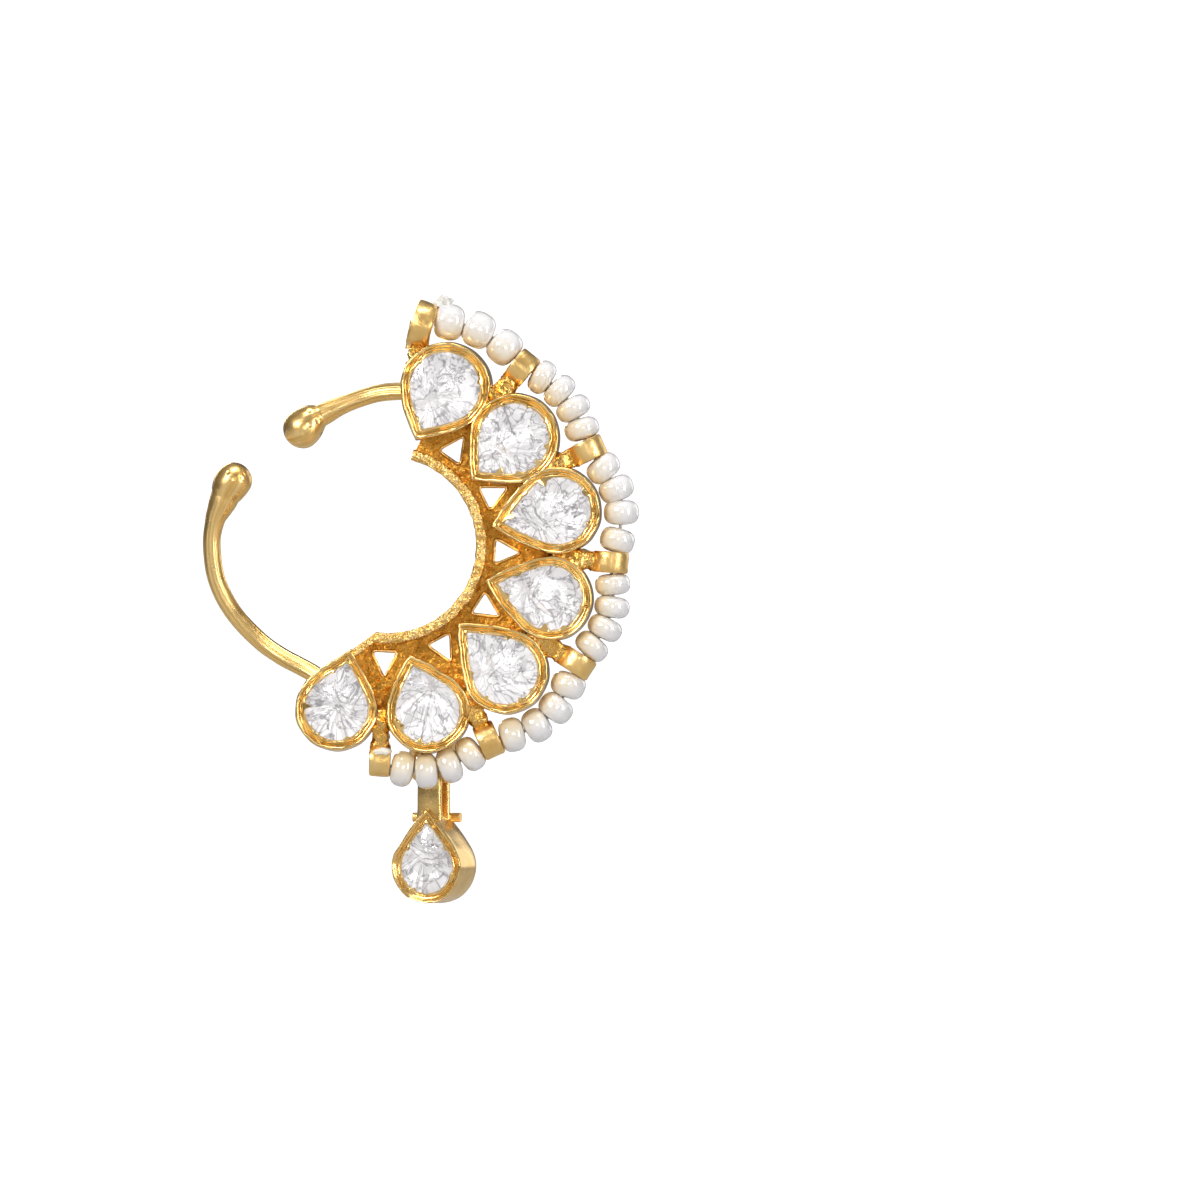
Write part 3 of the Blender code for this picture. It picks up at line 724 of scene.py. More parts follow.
def nacre_finish(name, white, painted_gold_reflection):
    """Pearl: cool white with a glossy skin, and a warm yellowish tint on the side towards the cups that is a painted
    reflection of the gold.
    """
    tree, shader, place = new_material(name)
    cloud = noise_at(tree, place, 700.0)
    skin = noise_at(tree, place, 2600.0)
    middle = (-CRESCENT_X * MM, 0.0, -CRESCENT_Z * MM)
    flat = vector_node(tree, "MULTIPLY_ADD", place, (1.0, 0.0, 1.0), middle)
    away = vector_node(tree, "LENGTH", flat, output="Value")
    # Painted reflection of the gold: full on the side towards the crescent's middle, fading out across the pearls
    inner = spread(tree, away, (STRING_RADIUS - 0.7) * MM, (STRING_RADIUS + 1.1) * MM, 1.0, 0.0)
    factor = product(tree, inner, spread(tree, cloud, 0.3, 0.7, 0.7, 1.0))
    feed(tree, shader, {
        "Base Color": mixed_colour(tree, factor, white, painted_gold_reflection),
        "Roughness": spread(tree, skin, 0.3, 0.7, 0.14, 0.24),
        "Coat Weight": 1.0,
        "Coat Roughness": 0.05,
        "Coat IOR": 1.85,
        "Specular IOR Level": 0.7,
        "Normal": bump(tree, skin, 0.00002),
    })


def plain_finish(name, light, dark, rough, scale, depth):
    """Matt thread or glue with a fine uneven surface."""
    tree, shader, place = new_material(name)
    grain = noise_at(tree, place, scale, 4.0)
    feed(tree, shader, {
        "Base Color": mixed_colour(tree, spread(tree, grain, 0.3, 0.7), dark, light),
        "Roughness": spread(tree, grain, 0.3, 0.7, rough, rough + 0.12),
        "Normal": bump(tree, grain, depth),
    })


def paper_finish(name):
    """Pale paper that is plain white to the camera and mid grey to the ring's reflections."""
    tree, shader, place = new_material(name)
    seen = add_node(tree, "ShaderNodeLightPath").outputs["Is Camera Ray"]
    feed(tree, shader, {
        "Base Color": mixed_colour(tree, noise_at(tree, place, 60.0), (0.45, 0.45, 0.45), (0.5, 0.5, 0.5)),
        "Emission Color": mixed_colour(tree, seen, (0.0, 0.0, 0.0), (1.0, 1.0, 1.0)),
        "Emission Strength": 1.0,
        "Roughness": 0.8,
    })


# ---------------------------------------------------------------- settings

def colour_setting(name, description, default):
    return bpy.props.FloatVectorProperty(
        name=name, description=description, default=default, size=3, min=0.0, max=1.0, subtype="COLOR",
    )


def length_setting(name, description, default, low, high):
    return bpy.props.FloatProperty(
        name=name, description=description, default=default, min=low, max=high, subtype="DISTANCE",
        unit="LENGTH", precision=5,
    )


class NoseRingSettings(bpy.types.PropertyGroup):
    """Sizes and colours that a user would change."""

    gold: colour_setting("Gold", "Colour of the satin gold", (0.96, 0.68, 0.29))
    deep_gold: colour_setting("Deep gold", "Colour of the gold in its dull patches", (0.84, 0.53, 0.17))
    # The next two are deepened copies of the gold: painted shade for the recessed plate between the cups. The first is
    # also the deeper tone of the solder, the band and the drawn wire
    recess_painted_shade_gold: colour_setting("Recess gold", "Colour of the rough gold between the cups", (0.72, 0.38, 0.07))
    deepest_painted_shade_gold: colour_setting("Dark gold", "Colour of the gold in its deepest patches", (0.52, 0.25, 0.035))
    nacre: colour_setting("Nacre", "Colour of the seed pearls", (0.78, 0.755, 0.755))
    # Warm tint painted on the pearls' side towards the cups: a painted reflection of the gold
    painted_gold_reflection: colour_setting("Cream", "Warm side of the pearls", (0.86, 0.69, 0.38))
    cotton: colour_setting("Cotton", "Colour of the thread", (0.86, 0.82, 0.72))
    wire: length_setting("Wire", "Diameter of the hoop wire", 1.05 * MM, 0.0005, 0.002)
    crown: length_setting("Stone crown", "How far a stone stands above its girdle", 0.3 * MM, 0.0001, 0.0006)


def settings():
    return bpy.context.scene.nose_ring


# ---------------------------------------------------------------- cups, foil and stones

Seat = namedtuple("Seat", "radius reach height place seed skirt body")


def ring_seat(index):
    """Where a cup of the ring is, and how large."""
    row = CUPS[index]
    centre = on_crescent(CUP_CIRCLE_RADIUS + row.outward, cup_angle(index), 0.0)
    place = facing_front(centre, cup_angle(index) + row.lean)
    size = CUP_RADIUS * row.radius_share, CUP_REACH * row.reach_share
    return Seat(*size, CUP_HEIGHT, place, (index + 1) * 3.7, SKIRTS[index], RING)


def pendant_seat():
    place = pendant_cup_matrix()
    return Seat(PENDANT_RADIUS, PENDANT_REACH, PENDANT_DEPTH, place, PENDANT_SEED, (0.0, 0.0), PENDANT)


def towards(border, turn):
    """The border's point that lies nearest to this direction from the stone's middle."""
    def off(spot):
        return abs((math.atan2(spot[1], spot[0] - STONE_MIDDLE) - turn + math.pi) % math.tau - math.pi)

    return min(border, key=off)


def make_cup(name, seat, look, node):
    """A stone's cup: rounded back edge, thin rim, groove and the ledge that is pushed over the stone."""
    seed = seat.seed
    lean, lean_side = seat.skirt
    rings = []
    for inset, level, slow, quick in CUP_SECTION:
        z = seat.height + level if level < 0 else level
        near = pear(seat.radius, seat.reach, inset, *CUP_STEPS)
        far = pear(seat.radius, seat.reach, inset + PUSH_STEP, *CUP_STEPS)
        ring = []
        for (x, y), (u, v) in zip(near, far):
            spot, other = (x, y, seed), (x, y, seed + 5)
            push = uneven(spot, 1.1, slow * 2.4, seed) + uneven(spot, 0.4, quick * 2.4, seed)
            lift = uneven(other, 1.3, slow * 1.6, seed) + uneven(other, 0.4, quick * 0.8, seed)
            if TOOTH_LEVEL < level < 0 and inset > TOOTH_INSET:
                tooth = max(0.0, uneven(spot, TOOTH_GRAIN, 1.0, seed + 9) - TOOTH_THRESHOLD)
                push += tooth * TOOTH_PUSH
                lift += tooth * TOOTH_LIFT
            side = math.cos(math.atan2(y, x) - math.radians(lean_side))
            out = lean * max(0.0, side) * max(0.0, 1 - z / seat.height)
            share = (push - out) / PUSH_STEP
            ring.append(seat.place @ Vector((x + (u - x) * share, y + (v - y) * share, z + lift)))
        rings.append(ring)
    finish_piece(lofted(name, rings, sharp=60.0), seat.body, "gold", look, node)


def make_foil(name, seat):
    """The dish of foil in a stone, pressed into uneven flat faces like those of the stone."""
    seed = seat.seed
    border = pear(seat.radius, seat.reach, FOIL_INSET, *FOIL_STEPS)
    points = [Vector((x, y, seat.height - FOIL_BORDER_DEPTH)) for x, y in border]
    for share, count, drop in FOIL_ROWS:
        for number in range(count):
            turn = math.tau * (number + uneven((number, share, seed), 0.6, 0.8, seed)) / count + share * 4
            x, y = towards(border, turn)
            reach = share * (1 + uneven((number, share + 3, seed), 0.5, 0.25, seed))
            level = seat.height - drop + uneven((number, share + 7, seed), 0.4, 0.2, seed)
            points.append(Vector((STONE_MIDDLE + (x - STONE_MIDDLE) * reach, y * reach, level)))
    flat, _, faces, origins, _, _ = delaunay_2d_cdt([point.to_2d() for point in points], [], [], 0, 1e-5)
    made = start_circle(name, [
        seat.place @ Vector((point.x, point.y, points[origin[0]].z)) for point, origin in zip(flat, origins)
    ])
    with editing():
        bpy.ops.mesh.delete(type="EDGE_FACE")
        shell = bmesh.from_edit_mesh(made.data)
        shell.verts.ensure_lookup_table()
        for face in faces:
            shell.faces.new([shell.verts[corner] for corner in face])
        bmesh.update_edit_mesh(made.data)
        turn_faces_outward()
    bpy.ops.object.shade_flat()
    layer = made.data.uv_layers.active or made.data.uv_layers.new(name="middle")
    middle = Vector((-1.2 + uneven((seed, 0.2, 1.0), 0.7, 1.8), uneven((seed, 5.1, 2.0), 0.7, 1.6)))
    for loop in made.data.loops:
        layer.data[loop.index].uv = flat[loop.vertex_index] - middle
    finish_piece(made, seat.body, "clear_stone", "silver_foil")


def make_stone(name, seat, node):
    """A hand-cut stone: uneven flat faces from its edge up to a few low peaks, and a flat floor below its foil."""
    seed = seat.seed
    crown = settings().crown / MM
    girdle = pear(seat.radius, seat.reach, STONE_INSET, *STONE_STEPS)
    top = seat.height - STONE_TOP
    points = [(x, y, z) for x, y in girdle for z in (top, seat.height - STONE_FLOOR)]
    for number in range(STONE_SHOULDERS):
        turn = math.tau * (number + 0.35 * uneven((number, 0.3, seed), 0.7, 2.0, seed)) / STONE_SHOULDERS
        share = 0.66 + uneven((number, 1.7, seed), 0.6, 0.2, seed)
        rise = crown * (0.66 + uneven((number, 4.1, seed), 0.8, 0.2, seed))
        x, y = towards(girdle, turn)
        points.append((STONE_MIDDLE + (x - STONE_MIDDLE) * share, y * share, top + rise))
    for number in range(STONE_PEAKS):
        along = -0.9 + 0.55 * number + uneven((number, 7.7, seed), 0.5, 0.5, seed)
        aside = uneven((number, 9.9, seed), 0.4, 1.0, seed) * 0.6
        rise = crown * (0.95 + 0.05 * math.cos(number * 2.1 + seed))
        points.append((STONE_MIDDLE + along * 0.6, aside, top + rise))
    made = start_circle(name, [seat.place @ Vector(point) for point in points])
    with editing():
        bpy.ops.mesh.convex_hull()
        turn_faces_outward()
        bpy.ops.mesh.bevel(offset=STONE_BEVEL * MM, segments=1, affect="EDGES")
    bpy.ops.object.shade_flat()
    finish_piece(made, seat.body, "clear_stone", "clear_stone_glass", node)


# ---------------------------------------------------------------- operators

class NOSERING_OT_stage(bpy.types.Operator):
    """Adds the pale floor and backdrop, the soft lights and the camera"""

    bl_idname = "nosering.stage"
    bl_label = "Stage"

    def execute(self, context):
        self.add_paper()
        self.add_lights(context.scene)
        self.add_camera(context.scene)
        return {"FINISHED"}

    def add_paper(self):
        """A floor that bends up into a backdrop."""
        clear_selection()
        bpy.ops.mesh.primitive_plane_add(size=SWEEP_SIZE, location=(0.0, 0.0, SWEEP_LEVEL))
        floor = start_piece("paper_sweep")
        with editing():
            bpy.ops.mesh.select_mode(type="EDGE")
            bpy.ops.mesh.select_all(action="DESELECT")
            self.select_back_edges(floor)
            bpy.ops.mesh.extrude_region_move(TRANSFORM_OT_translate={"value": (0.0, 0.0, SWEEP_RISE)})
            self.select_back_edges(floor)
            bpy.ops.mesh.bevel(offset=SWEEP_BEND, segments=12, affect="EDGES")
        bpy.ops.object.transform_apply(location=True, rotation=True, scale=True)
        bpy.ops.object.shade_smooth()
        paper_finish("pale_paper")
        floor.data.materials.append(bpy.data.materials["pale_paper"])

    def select_back_edges(self, floor):
        """Selects the edges at the back of the floor, where the backdrop rises."""
        shell = bmesh.from_edit_mesh(floor.data)
        for edge in shell.edges:
            edge.select_set(all(vert.co.y > 1.0 and vert.co.z < 0.1 for vert in edge.verts))
        bmesh.update_edit_mesh(floor.data)

    def add_lights(self, scene):
        world = bpy.data.worlds.new("studio")
        scene.world = world
        world.use_nodes = True
        tree = world.node_tree
        direction = add_node(tree, "ShaderNodeTexCoord").outputs["Generated"]
        up = add_node(tree, "ShaderNodeSeparateXYZ", {"Vector": direction}).outputs["Z"]
        sky = mixed_colour(tree, spread(tree, up, -0.5, 0.8), (0.07, 0.068, 0.065), (0.33, 0.33, 0.33))
        feed(tree, tree.nodes["Background"], {"Color": sky})
        for label, spot, (width, height), glow in LIGHTS:
            spot = Vector(spot) * MM
            turn = (Vector(LIGHTS_AIM) * MM - spot).to_track_quat("-Z", "Y").to_euler()
            bpy.ops.object.light_add(type="AREA", location=spot, rotation=turn)
            light = bpy.context.active_object
            light.name = label
            light.data.shape = "RECTANGLE"
            light.data.size, light.data.size_y = width * MM, height * MM
            light.data.energy = glow * math.pi * width * height * MM**2
            light.visible_camera = False

    def add_camera(self, scene):
        bpy.ops.object.camera_add(
            location=Vector((VIEW_X, -CAMERA_AWAY, VIEW_Z)) * MM, rotation=(math.pi / 2, 0.0, 0.0)
        )
        camera = bpy.context.active_object
        camera.name = "camera"
        camera.data.sensor_width = SENSOR
        camera.data.lens = SENSOR * (CAMERA_AWAY + VIEW_PLANE_Y) / VIEW_WIDTH
        camera.data.clip_start, camera.data.clip_end = 0.01, 10.0
        scene.camera = camera
        scene.view_settings.view_transform = "Standard"


class NOSERING_OT_finishes(bpy.types.Operator):
    """Makes the gold, stone, foil, pearl, thread and glue materials"""

    bl_idname = "nosering.finishes"
    bl_label = "Finishes"

    def execute(self, context):
        build_satin_group()
        s = settings()
        for row in (
            ("satin_gold", s.gold, s.deep_gold, (0.3, 0.42), 900.0, 9000.0, 0.00004),
            ("rim_gold", s.gold, s.deep_gold, (0.13, 0.24), 700.0, 5000.0, 0.000006),
            ("pendant_gold", s.gold, s.deep_gold, (0.18, 0.3), 800.0, 5000.0, 0.000008),
            # Painted shade: the recessed plate between the cups is made of deepened copies of the gold
            ("recess_painted_shade_gold", s.recess_painted_shade_gold, s.deepest_painted_shade_gold, (0.24, 0.4), 2200.0, 7000.0, 0.00011),
            ("solder_gold", s.deep_gold, s.recess_painted_shade_gold, (0.2, 0.36), 1700.0, 7000.0, 0.00007),
            ("band_gold", s.gold, s.recess_painted_shade_gold, (0.2, 0.36), 4200.0, 11000.0, 0.00007),
        ):
            gold_finish(*row)
        balls = [on_crescent(row[-1][1], row[-1][0], -HOOP_BOW * row[-1][2]) for row in (UPPER_WIRE, LOWER_WIRE)]
        drawn_gold("drawn_gold", s.gold, [a * 0.7 + b * 0.3 for a, b in zip(s.deep_gold, s.recess_painted_shade_gold)], balls)
        clear_finish("clear_stone_glass", (0.99, 0.99, 1.0))
        # Pale foil and the deep grey of its painted shade lines; the foil also has a painted glow
        foil_finish("silver_foil", (0.95, 0.935, 0.94), (0.2, 0.19, 0.2))
        nacre_finish("nacre_skin", s.nacre, s.painted_gold_reflection)
        plain_finish("cotton_thread", s.cotton, [c * 0.8 for c in s.cotton], 0.6, 9000.0, 0.00003)
        plain_finish("dry_glue", (0.86, 0.86, 0.84), (0.66, 0.64, 0.58), 0.35, 3000.0, 0.0001)
        return {"FINISHED"}


class NOSERING_OT_cups(bpy.types.Operator):
    """Models the seven cups, their foil and their stones"""

    bl_idname = "nosering.cups"
    bl_label = "Cups and stones"

    def execute(self, context):
        for index in range(len(CUPS)):
            number = index + 1
            seat = ring_seat(index)
            make_cup(f"cup_{number}", seat, "rim_gold", FRAME_NODE)
            make_foil(f"foil_{number}", seat)
            make_stone(f"cut_stone_{number}", seat, f"stone_{number}")
        return {"FINISHED"}


class NOSERING_OT_plate(bpy.types.Operator):
    """Models the pierced back plate and the bright lips of its piercings"""

    bl_idname = "nosering.plate"
    bl_label = "Back plate"

    def execute(self, context):
        holes = [rounded_triangle(self.corners(index), PIERCING_CORNER) for index in range(len(CUPS) - 1)]
        outline = self.outline()
        plate = start_circle("back_plate", outline)
        parts = [plate] + [start_circle(f"hole_{i}", hole) for i, hole in enumerate(holes)]
        for part in parts:
            part.select_set(True)
        context.view_layer.objects.active = plate
        bpy.ops.object.join()
        with editing():
            bpy.ops.mesh.fill(use_beauty=True)
            bpy.ops.mesh.select_all(action="SELECT")
            depth = (PLATE_THICKNESS - PLATE_STEP) * MM
            bpy.ops.mesh.extrude_region_move(TRANSFORM_OT_translate={"value": (0.0, depth, 0.0)})
            turn_faces_outward()
        bpy.ops.object.shade_smooth_by_angle(angle=math.radians(40))
        # The plate gets the deepened gold: painted shade between the cups
        finish_piece(plate, RING, "gold", "recess_painted_shade_gold", FRAME_NODE)
        for index, hole in enumerate(holes):
            lip = swept(
                f"piercing_lip_{index + 1}", hole,
                lambda share, i=index: circle_section(LIP_RADIUS + uneven((share * 4, i, 0), 0.6, 0.03, i), 8),
                FRONT, joined=True,
            )
            finish_piece(lip, RING, "gold", "rim_gold")
        return {"FINISHED"}

    def outline(self):
        """The plate's edge: along the band, past the last cup's tip and back under the cups."""
        first, last = cup_angle(0), cup_angle(len(CUPS) - 1)
        points = []
        for radius, start, end in (
            (BAND_INNER_RADIUS + BAND_WALL / 2, first + 4.3, BAND_END),
            (last_tip_radius() + 0.35, last - 1.5, last - 1.5),
            (PLATE_OUTER_RADIUS, last, first),
        ):
            points += [
                on_crescent(radius, start + (end - start) * i / PLATE_STEPS, PLATE_THICKNESS)
                for i in range(PLATE_STEPS + 1 if end != start else 1)
            ]
        return points

    def corners(self, index):
        """The corners of the piercing between two cups."""
        middle = math.radians((cup_angle(index) + cup_angle(index + 1)) / 2)
        half = math.asin(PIERCING_HALF_WIDTH / PIERCING_BASE_RADIUS)
        spots = (
            (PIERCING_BASE_RADIUS, middle - half), (PIERCING_APEX_RADIUS, middle),
            (PIERCING_BASE_RADIUS, middle + half),
        )
        corners = [on_crescent(radius, math.degrees(turn), PLATE_THICKNESS) for radius, turn in spots]
        centre = sum(corners, Vector()) / 3
        return [centre.lerp(corner, PIERCING_SWELL) for corner in corners]


class NOSERING_OT_band(bpy.types.Operator):
    """Models the band along the crescent's inner edge"""

    bl_idname = "nosering.band"
    bl_label = "Inner band"

    def execute(self, context):
        rise = BAND_HEIGHT / 2 + PLATE_STEP / 2
        stops = []
        for i in range(BAND_STEPS + 1):
            turn = BAND_START + (BAND_END - BAND_START) * i / BAND_STEPS
            stops.append((on_crescent(BAND_INNER_RADIUS + BAND_WALL / 2, turn, rise), 1.0))
        begin = stops[-1][0]
        run = on_crescent(last_tip_radius() + BAND_WALL * 0.7, cup_angle(len(CUPS) - 1) - 1.5, rise)
        for i in range(1, BAND_RUN_STEPS + 1):
            share = i / BAND_RUN_STEPS
            stops.append((begin.lerp(run, share), 1.0 + 0.4 * share))
        rings = []
        for place, wide in stops:
            away = place - on_crescent(0.0, 0.0, 0.0)
            away.y = 0.0
            away.normalize()
            ring = []
            for x, y in round_section(BAND_WALL, BAND_HEIGHT, 0.1):
                point = place + away * x * wide + FRONT * y
                rough = 0.035 + 0.05 * max(0.0, math.cos(math.atan2(away.z, away.x) - 0.1))
                point += away * uneven(point, 0.5, rough, 1.0)
                point.y += uneven(point, 0.32, rough, 8.0) if y > 0 else 0.0
                ring.append(point)
            rings.append(ring)
        finish_piece(lofted("inner_band", rings), RING, "gold", "band_gold", FRAME_NODE)
        return {"FINISHED"}


class NOSERING_OT_tubes(bpy.types.Operator):
    """Models the thread tubes and the solder that joins them to the cups"""

    bl_idname = "nosering.tubes"
    bl_label = "Tubes and solder"

    def execute(self, context):
        for index in range(len(TUBES)):
            self.add_tube(index)
            self.add_solder(index)
        self.add_tongue()
        return {"FINISHED"}

    def add_tube(self, index):
        outer, bore, half, edge = TUBE_DIAMETER / 2, TUBE_BORE / 2, TUBE_LENGTH / 2, TUBE_EDGE
        profile = (
            (bore, half), (bore, -half + 0.03), (bore + 0.05, -half), (outer - edge, -half),
            (outer - edge * 0.3, -half + edge * 0.3), (outer, -half + edge), (outer, -half * 0.3),
            (outer, half * 0.3), (outer, half - edge), (outer - edge * 0.3, half - edge * 0.3),
            (outer - edge, half), (bore + 0.05, half),
        )
        turn = math.radians(tube_angle(index) - TUBE_TILTS[index])
        middle = on_crescent(tube_radius(index) + TUBE_NUDGES[index], tube_angle(index), STRING_RISE)
        place = along_axis(middle, Vector((math.sin(turn), 0, -math.cos(turn))))
        place @= Matrix.Diagonal((TUBE_SHARES[index], TUBE_SHARES[index], 1.0, 1.0))
        rough = 0.1 if index == 0 else 0.03
        rings = []
        for radius, height in profile:
            ring = []
            for x, y in circle_section(1.0, TUBE_SIDES):
                point = Vector((radius * x, radius * y, height))
                push = uneven(point, 0.7, rough, index + 0.5)
                ring.append(place @ (point + Vector((x * push, y * push, push * 0.5))))
            rings.append(ring)
        tube = lofted(f"thread_tube_{index + 1}", rings, joined=True, sharp=40.0)
        finish_piece(tube, RING, "gold", "satin_gold", FRAME_NODE)

    def add_solder(self, index):
        """The rough bar of solder between two cups and a tube."""
        flat = facing_front(on_crescent(0.0, 0.0, 0.0), tube_angle(index))
        end = tube_radius(index) + TUBE_NUDGES[index] - TUBE_SHARES[index] * TUBE_BORE / 2 - 0.1
        flare = 0.0 if index in (0, len(TUBES) - 1) else SOLDER_FLARE
        rings = []
        for i in range(SOLDER_STEPS + 1):
            share = i / SOLDER_STEPS
            reach = SOLDER_START + (end - SOLDER_START) * share
            width = 1.0 + flare * (1 - share) ** 1.6
            height = 1.95 + 0.25 * math.sin(math.pi * share)
            ring = []
            for x, y in round_section(width, height, 0.3, 4):
                point = Vector((reach, x, y + height / 2 + 3 * PLATE_STEP))
                push = uneven(point, 0.34, 0.22, index * 2.3) + uneven(point, 0.12, 0.06, index)
                side = Vector((0, x / width, y / height)) * 2
                ring.append(flat @ (point + side * push))
            rings.append(ring)
        solder = lofted(f"solder_{index + 1}", rings, sharp=70.0)
        finish_piece(solder, RING, "gold", "solder_gold", FRAME_NODE)

    def add_tongue(self):
        """The flat tongue behind the first tube."""
        flat = facing_front(on_crescent(0.0, 0.0, 0.0), tube_angle(0) + 0.6)
        end = tube_radius(0) - 0.1
        rings = []
        for i in range(TONGUE_STEPS + 1):
            share = i / TONGUE_STEPS
            reach = TONGUE_START + (end - TONGUE_START) * share
            ring = []
            for x, y in round_section(1.35 - 0.1 * share, TONGUE_THICKNESS, 0.1):
                point = Vector((reach, x, y + TONGUE_THICKNESS / 2 + 2 * PLATE_STEP))
                ring.append(flat @ (point + Vector((0, uneven(point, 0.5, 0.05, 2), 0))))
            rings.append(ring)
        finish_piece(lofted("tongue", rings), RING, "gold", "satin_gold")


class NOSERING_OT_hoop(bpy.types.Operator):
    """Models the two hoop wires with their balls"""

    bl_idname = "nosering.hoop"
    bl_label = "Hoop"

    def execute(self, context):
        for name, stops, ball, lean, swell, length in (
            ("upper_wire", UPPER_WIRE, UPPER_BALL, Vector((0, 0, 0.2)), 1.3, 1.1),
            ("lower_wire", LOWER_WIRE, LOWER_BALL, Vector((-0.08, 0, 0)), 1.6, 1.2),
        ):
            points = [on_crescent(radius, angle, -HOOP_BOW * bow) for angle, radius, bow in stops]
            points[-1] += lean
            made = self.wire_and_ball(name, smooth_path(points, 12), ball / 2, lean, swell, length)
            finish_piece(made, RING, "gold", "drawn_gold", FRAME_NODE)
        return {"FINISHED"}

    def wire_and_ball(self, name, path, ball, lean, swell, length):
        """One skin over the wire, its swelling neck and its ball. The wire meets the ball off its middle."""
        wire = settings().wire / MM / 2
        centre = path[-1]
        ahead = (path[-1] - path[-3]).normalized()
        body = [point for point in path if (point - centre).length > ball * BALL_START]
        rings = []
        for number, point in enumerate(body):
            away = (point - centre).length
            step = (body[min(number + 1, len(body) - 1)] - body[max(number - 1, 0)]).normalized()
            neck = wire * (1 + (swell - 1) * math.exp(-((max(0.0, away - ball) / length) ** 2)))
            sphere = math.sqrt(max(0.0, ball**2 - away**2))
            rings.append((point, step, (neck**3 + sphere**3) ** (1 / 3)))
        begin = math.acos(BALL_START)
        for i in range(BALL_STEPS):
            turn = begin + (math.pi - 0.04 - begin) * (i + 1) / BALL_STEPS
            near = max(0.0, math.cos(turn)) / BALL_START
            neck = wire * swell * near**0.5
            spot = centre - lean * (1 - near) - ahead * math.cos(turn) * ball
            rings.append((spot, ahead, (neck**3 + (math.sin(turn) * ball) ** 3) ** (1 / 3)))
        skins = []
        for point, step, radius in rings:
            across = step.cross(FRONT).normalized()
            level = across.cross(step).normalized()
            rough = 0.05 if radius > wire * 1.5 else 0.01
            ring = []
            for x, y in circle_section(1.0, WIRE_SIDES):
                out = across * x + level * y
                spot = point + out * radius
                ring.append(spot + out * uneven(spot, 1.1, rough, 2.0))
            skins.append(ring)
        return lofted(name, skins, sharp=80.0)


class NOSERING_OT_pearls(bpy.types.Operator):
    """Models the seed pearls, each a little uneven, the thread through them and its glue"""

    bl_idname = "nosering.pearls"
    bl_label = "Pearls and thread"

    def execute(self, context):
        number = 0
        for span, (count, _, wide) in enumerate(SPANS):
            points = [string_point(span, i / 20) for i in range(21)]
            length = sum((b - a).length for a, b in zip(points, points[1:]))
            ends = (TUBE_LENGTH / 2 + PEARL_GAP / 2) / length
            share = (1 - 2 * ends) / count
            for place in range(count):
                number += 1
                middle = ends + share * (place + 0.5) + PEARL_NUDGES.get(number, 0.0) / length
                ahead = string_point(span, middle + 0.02) - string_point(span, middle - 0.02)
                matrix = along_axis(string_point(span, middle), ahead)
                self.add_pearl(number, matrix, PEARL_DIAMETER * wide / 2, (share * length - PEARL_GAP * 0.6) / 2)
        path = []
        for span in range(len(SPANS)):
            path += [string_point(span, i / 24) for i in range(0 if span == 0 else 1, 25)]
        thread = swept("thread", path, lambda share: circle_section(THREAD_RADIUS, 8), FRONT)
        finish_piece(thread, RING, "thread", "cotton_thread", "pearl_thread")
        for *shape, look in LUMPS:
            finish_piece(lump(*shape), RING, "thread", look)
        return {"FINISHED"}

    def add_pearl(self, number, place, radius, half):
        hole = PEARL_HOLE / 2
        rings = []
        for step in range(PEARL_STEPS + 1):
            turn = math.pi * (step / PEARL_STEPS - 0.5)
            wide = hole + (radius - hole) * math.cos(turn) ** 0.72
            high = half * math.copysign(abs(math.sin(turn)) ** 0.85, turn)
            points = [Vector((x, y, high)) for x, y in circle_section(wide, PEARL_SIDES)]
            rings.append([place @ (point * (1 + uneven(point, 1.3, 0.04, number * 1.9))) for point in points])
        rings.append([place @ Vector((x, y, 0.0)) for x, y in circle_section(hole * 0.9, PEARL_SIDES)])
        pearl = lofted(f"seed_pearl_{number:02d}", rings, joined=True, sharp=60.0)
        finish_piece(pearl, RING, "nacre", "nacre_skin", f"pearl_{number:02d}")


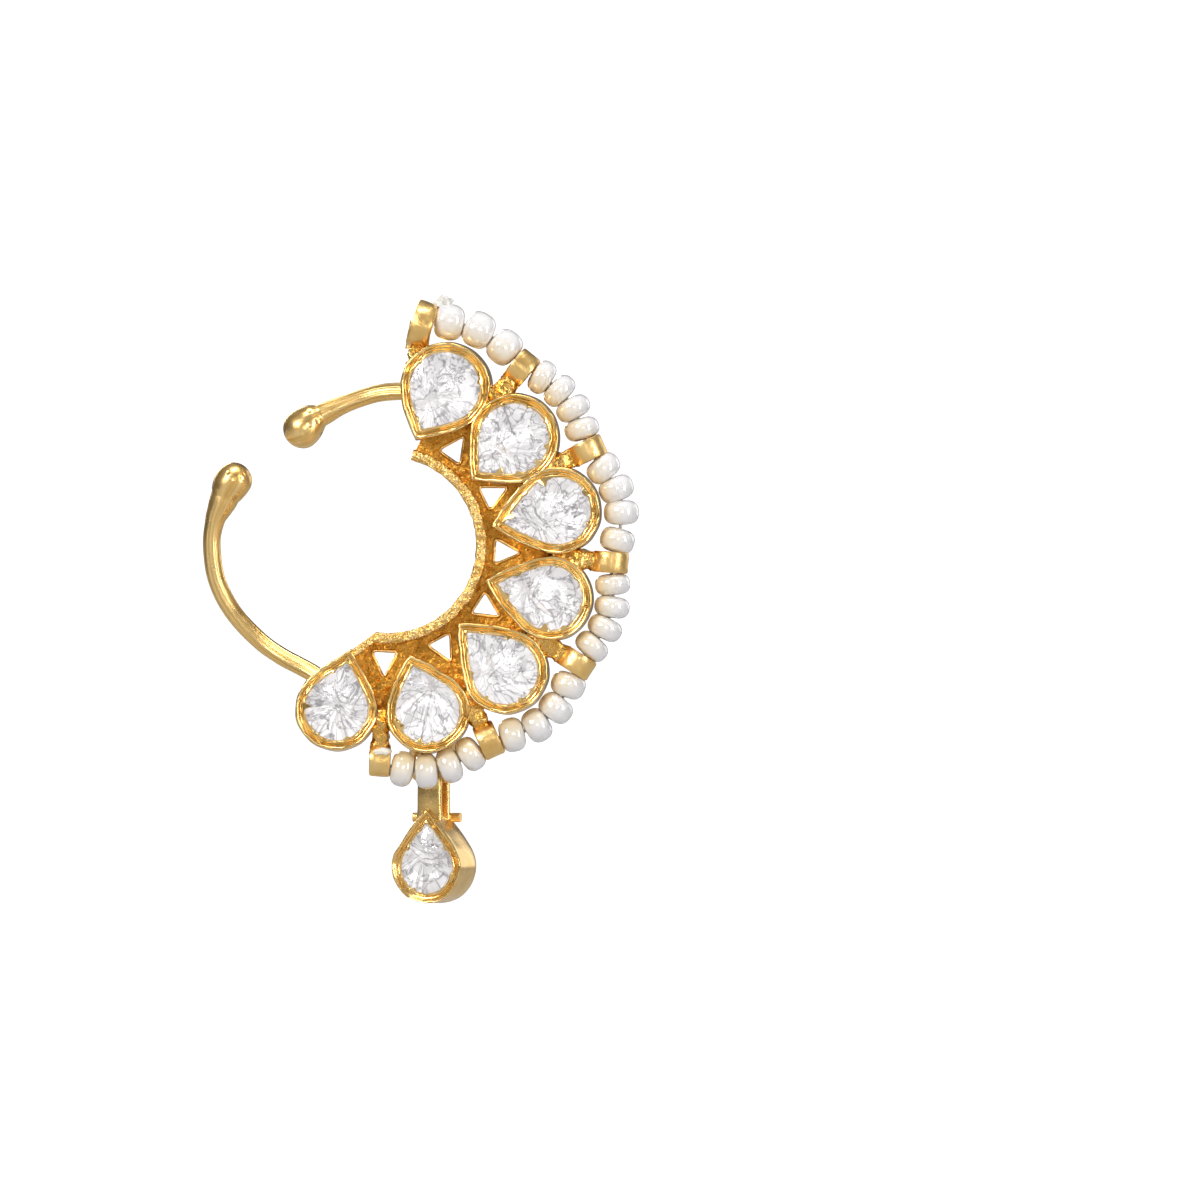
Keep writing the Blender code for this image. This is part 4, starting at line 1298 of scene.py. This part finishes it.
class NOSERING_OT_pendant(bpy.types.Operator):
    """Models the hanging wire, the bail and the pendant"""

    bl_idname = "nosering.pendant"
    bl_label = "Pendant"

    def execute(self, context):
        seat = pendant_seat()
        self.add_loop()
        self.add_bail()
        make_cup("pendant_cup", seat, "pendant_gold", "pendant_setting")
        make_foil("pendant_foil", seat)
        make_stone("pendant_cut_stone", seat, "pendant_stone")
        self.add_tabs(seat.place)
        return {"FINISHED"}

    def add_loop(self):
        """The wire that the pendant hangs on, bent down from the plate and back up."""
        side, bend = LOOP_HALF_WIDTH, LOOP_WIRE * 0.6
        matrix = pendant_matrix()
        half = [
            (side, 0, LOOP_LEG * 0.6), (side, 0, bend), (side - bend * 0.3, 0, bend * 0.3), (side - bend, 0, 0),
        ]
        points = half + [(0, 0, 0)] + [(-x, y, z) for x, y, z in reversed(half)]
        roots = [matrix @ Vector((x, 0, LOOP_LEG)) for x in (side * 0.8, -side * 0.8)]
        for root in roots:
            root.y = BACK_Y - LOOP_ROOT
        path = smooth_path([roots[0]] + [matrix @ Vector(p) for p in points] + [roots[1]], 4)
        up = matrix.to_3x3() @ FRONT
        made = swept("hanging_wire", path, lambda share: circle_section(LOOP_WIRE / 2, 16), up, sharp=80.0)
        finish_piece(made, RING, "gold", "drawn_gold", FRAME_NODE)

    def add_bail(self):
        """The strap over the wire, with its two ends spread on the pendant's cup."""
        matrix = pendant_matrix()
        hole = BAIL_BORE / 2
        mean = hole + BAIL_WALL / 2
        middle = LOOP_WIRE / 2 + BAIL_PLAY - hole
        foot = BAIL_FOOT / 2 - BAIL_WALL / 2
        low, high = -PENDANT_DROP - 0.7, -PENDANT_DROP + 0.15
        points = [Vector((BAIL_SKEW, -foot, z)) for z in (low, high)]
        for i in range(BAIL_STEPS + 1):
            turn = math.pi - math.pi * i / BAIL_STEPS
            points.append(Vector((
                -BAIL_SKEW * math.cos(turn), mean * math.cos(turn), middle + mean * math.sin(turn)
            )))
        points += [Vector((-BAIL_SKEW, foot, z)) for z in (high, low)]
        path = [matrix @ p for p in smooth_path(points, 3)]
        across = matrix.to_3x3() @ Vector((1, 0, 0))
        last = len(path) - 1
        rings = []
        for i, point in enumerate(path):
            ahead = (path[min(i + 1, last)] - path[max(i - 1, 0)]).normalized()
            out = across.cross(ahead).normalized()
            flare = 1.0 + BAIL_FLARE * max(0.0, (abs(i / last - 0.5) - 0.36) / 0.14) ** 2
            ring = []
            for x, y in round_section(BAIL_WIDTH * flare, BAIL_WALL, 0.13):
                y += BAIL_CROWN * (1 - (2 * x / BAIL_WIDTH) ** 2) if y > 0 else 0.0
                spot = point + across * x + out * y
                ring.append(spot + out * uneven(spot, 0.8, 0.04, 4.0) + across * uneven(spot, 0.9, 0.03, 9.0))
            rings.append(ring)
        finish_piece(lofted("bail", rings), PENDANT, "gold", "pendant_gold", "pendant_setting")

    def add_tabs(self, place):
        """The two small tabs that stick out behind the cup."""
        for number, end in enumerate(TAB_ENDS):
            start = math.copysign(TAB_START, end)
            middle = TAB_FROM_TIP - PENDANT_DROP - PENDANT_REACH
            rings = []
            for i in range(5):
                y = start + (end - start) * i / 4
                section = round_section(0.55, 0.5, 0.2)
                rings.append([place @ Vector((middle + x, y, TAB_LEVEL + z)) for x, z in section])
            finish_piece(lofted(f"tab_{number + 1}", rings), PENDANT, "gold", "satin_gold")


class NOSERING_PT_pieces(bpy.types.Panel):
    """Lists the sizes, colours and pieces of the nose ring"""

    bl_idname = "NOSERING_PT_pieces"
    bl_label = "Nose ring"
    bl_space_type = "VIEW_3D"
    bl_region_type = "UI"
    bl_category = "Nose ring"

    def draw(self, context):
        column = self.layout.column()
        for label in NoseRingSettings.__annotations__:
            column.prop(context.scene.nose_ring, label)
        for operator in OPERATORS:
            column.operator(operator.bl_idname)


OPERATORS = (
    NOSERING_OT_stage,
    NOSERING_OT_finishes,
    NOSERING_OT_cups,
    NOSERING_OT_plate,
    NOSERING_OT_band,
    NOSERING_OT_tubes,
    NOSERING_OT_hoop,
    NOSERING_OT_pearls,
    NOSERING_OT_pendant,
)
CLASSES = (NoseRingSettings,) + OPERATORS + (NOSERING_PT_pieces,)


def register():
    for one in CLASSES:
        bpy.utils.register_class(one)
    bpy.types.Scene.nose_ring = bpy.props.PointerProperty(type=NoseRingSettings)


def unregister():
    del bpy.types.Scene.nose_ring
    for one in reversed(CLASSES):
        bpy.utils.unregister_class(one)


def main():
    register()
    bpy.ops.nosering.stage()
    bpy.ops.nosering.finishes()
    bpy.ops.nosering.cups()
    bpy.ops.nosering.plate()
    bpy.ops.nosering.band()
    bpy.ops.nosering.tubes()
    bpy.ops.nosering.hoop()
    bpy.ops.nosering.pearls()
    bpy.ops.nosering.pendant()
    clear_selection()


if __name__ == "__main__":
    main()
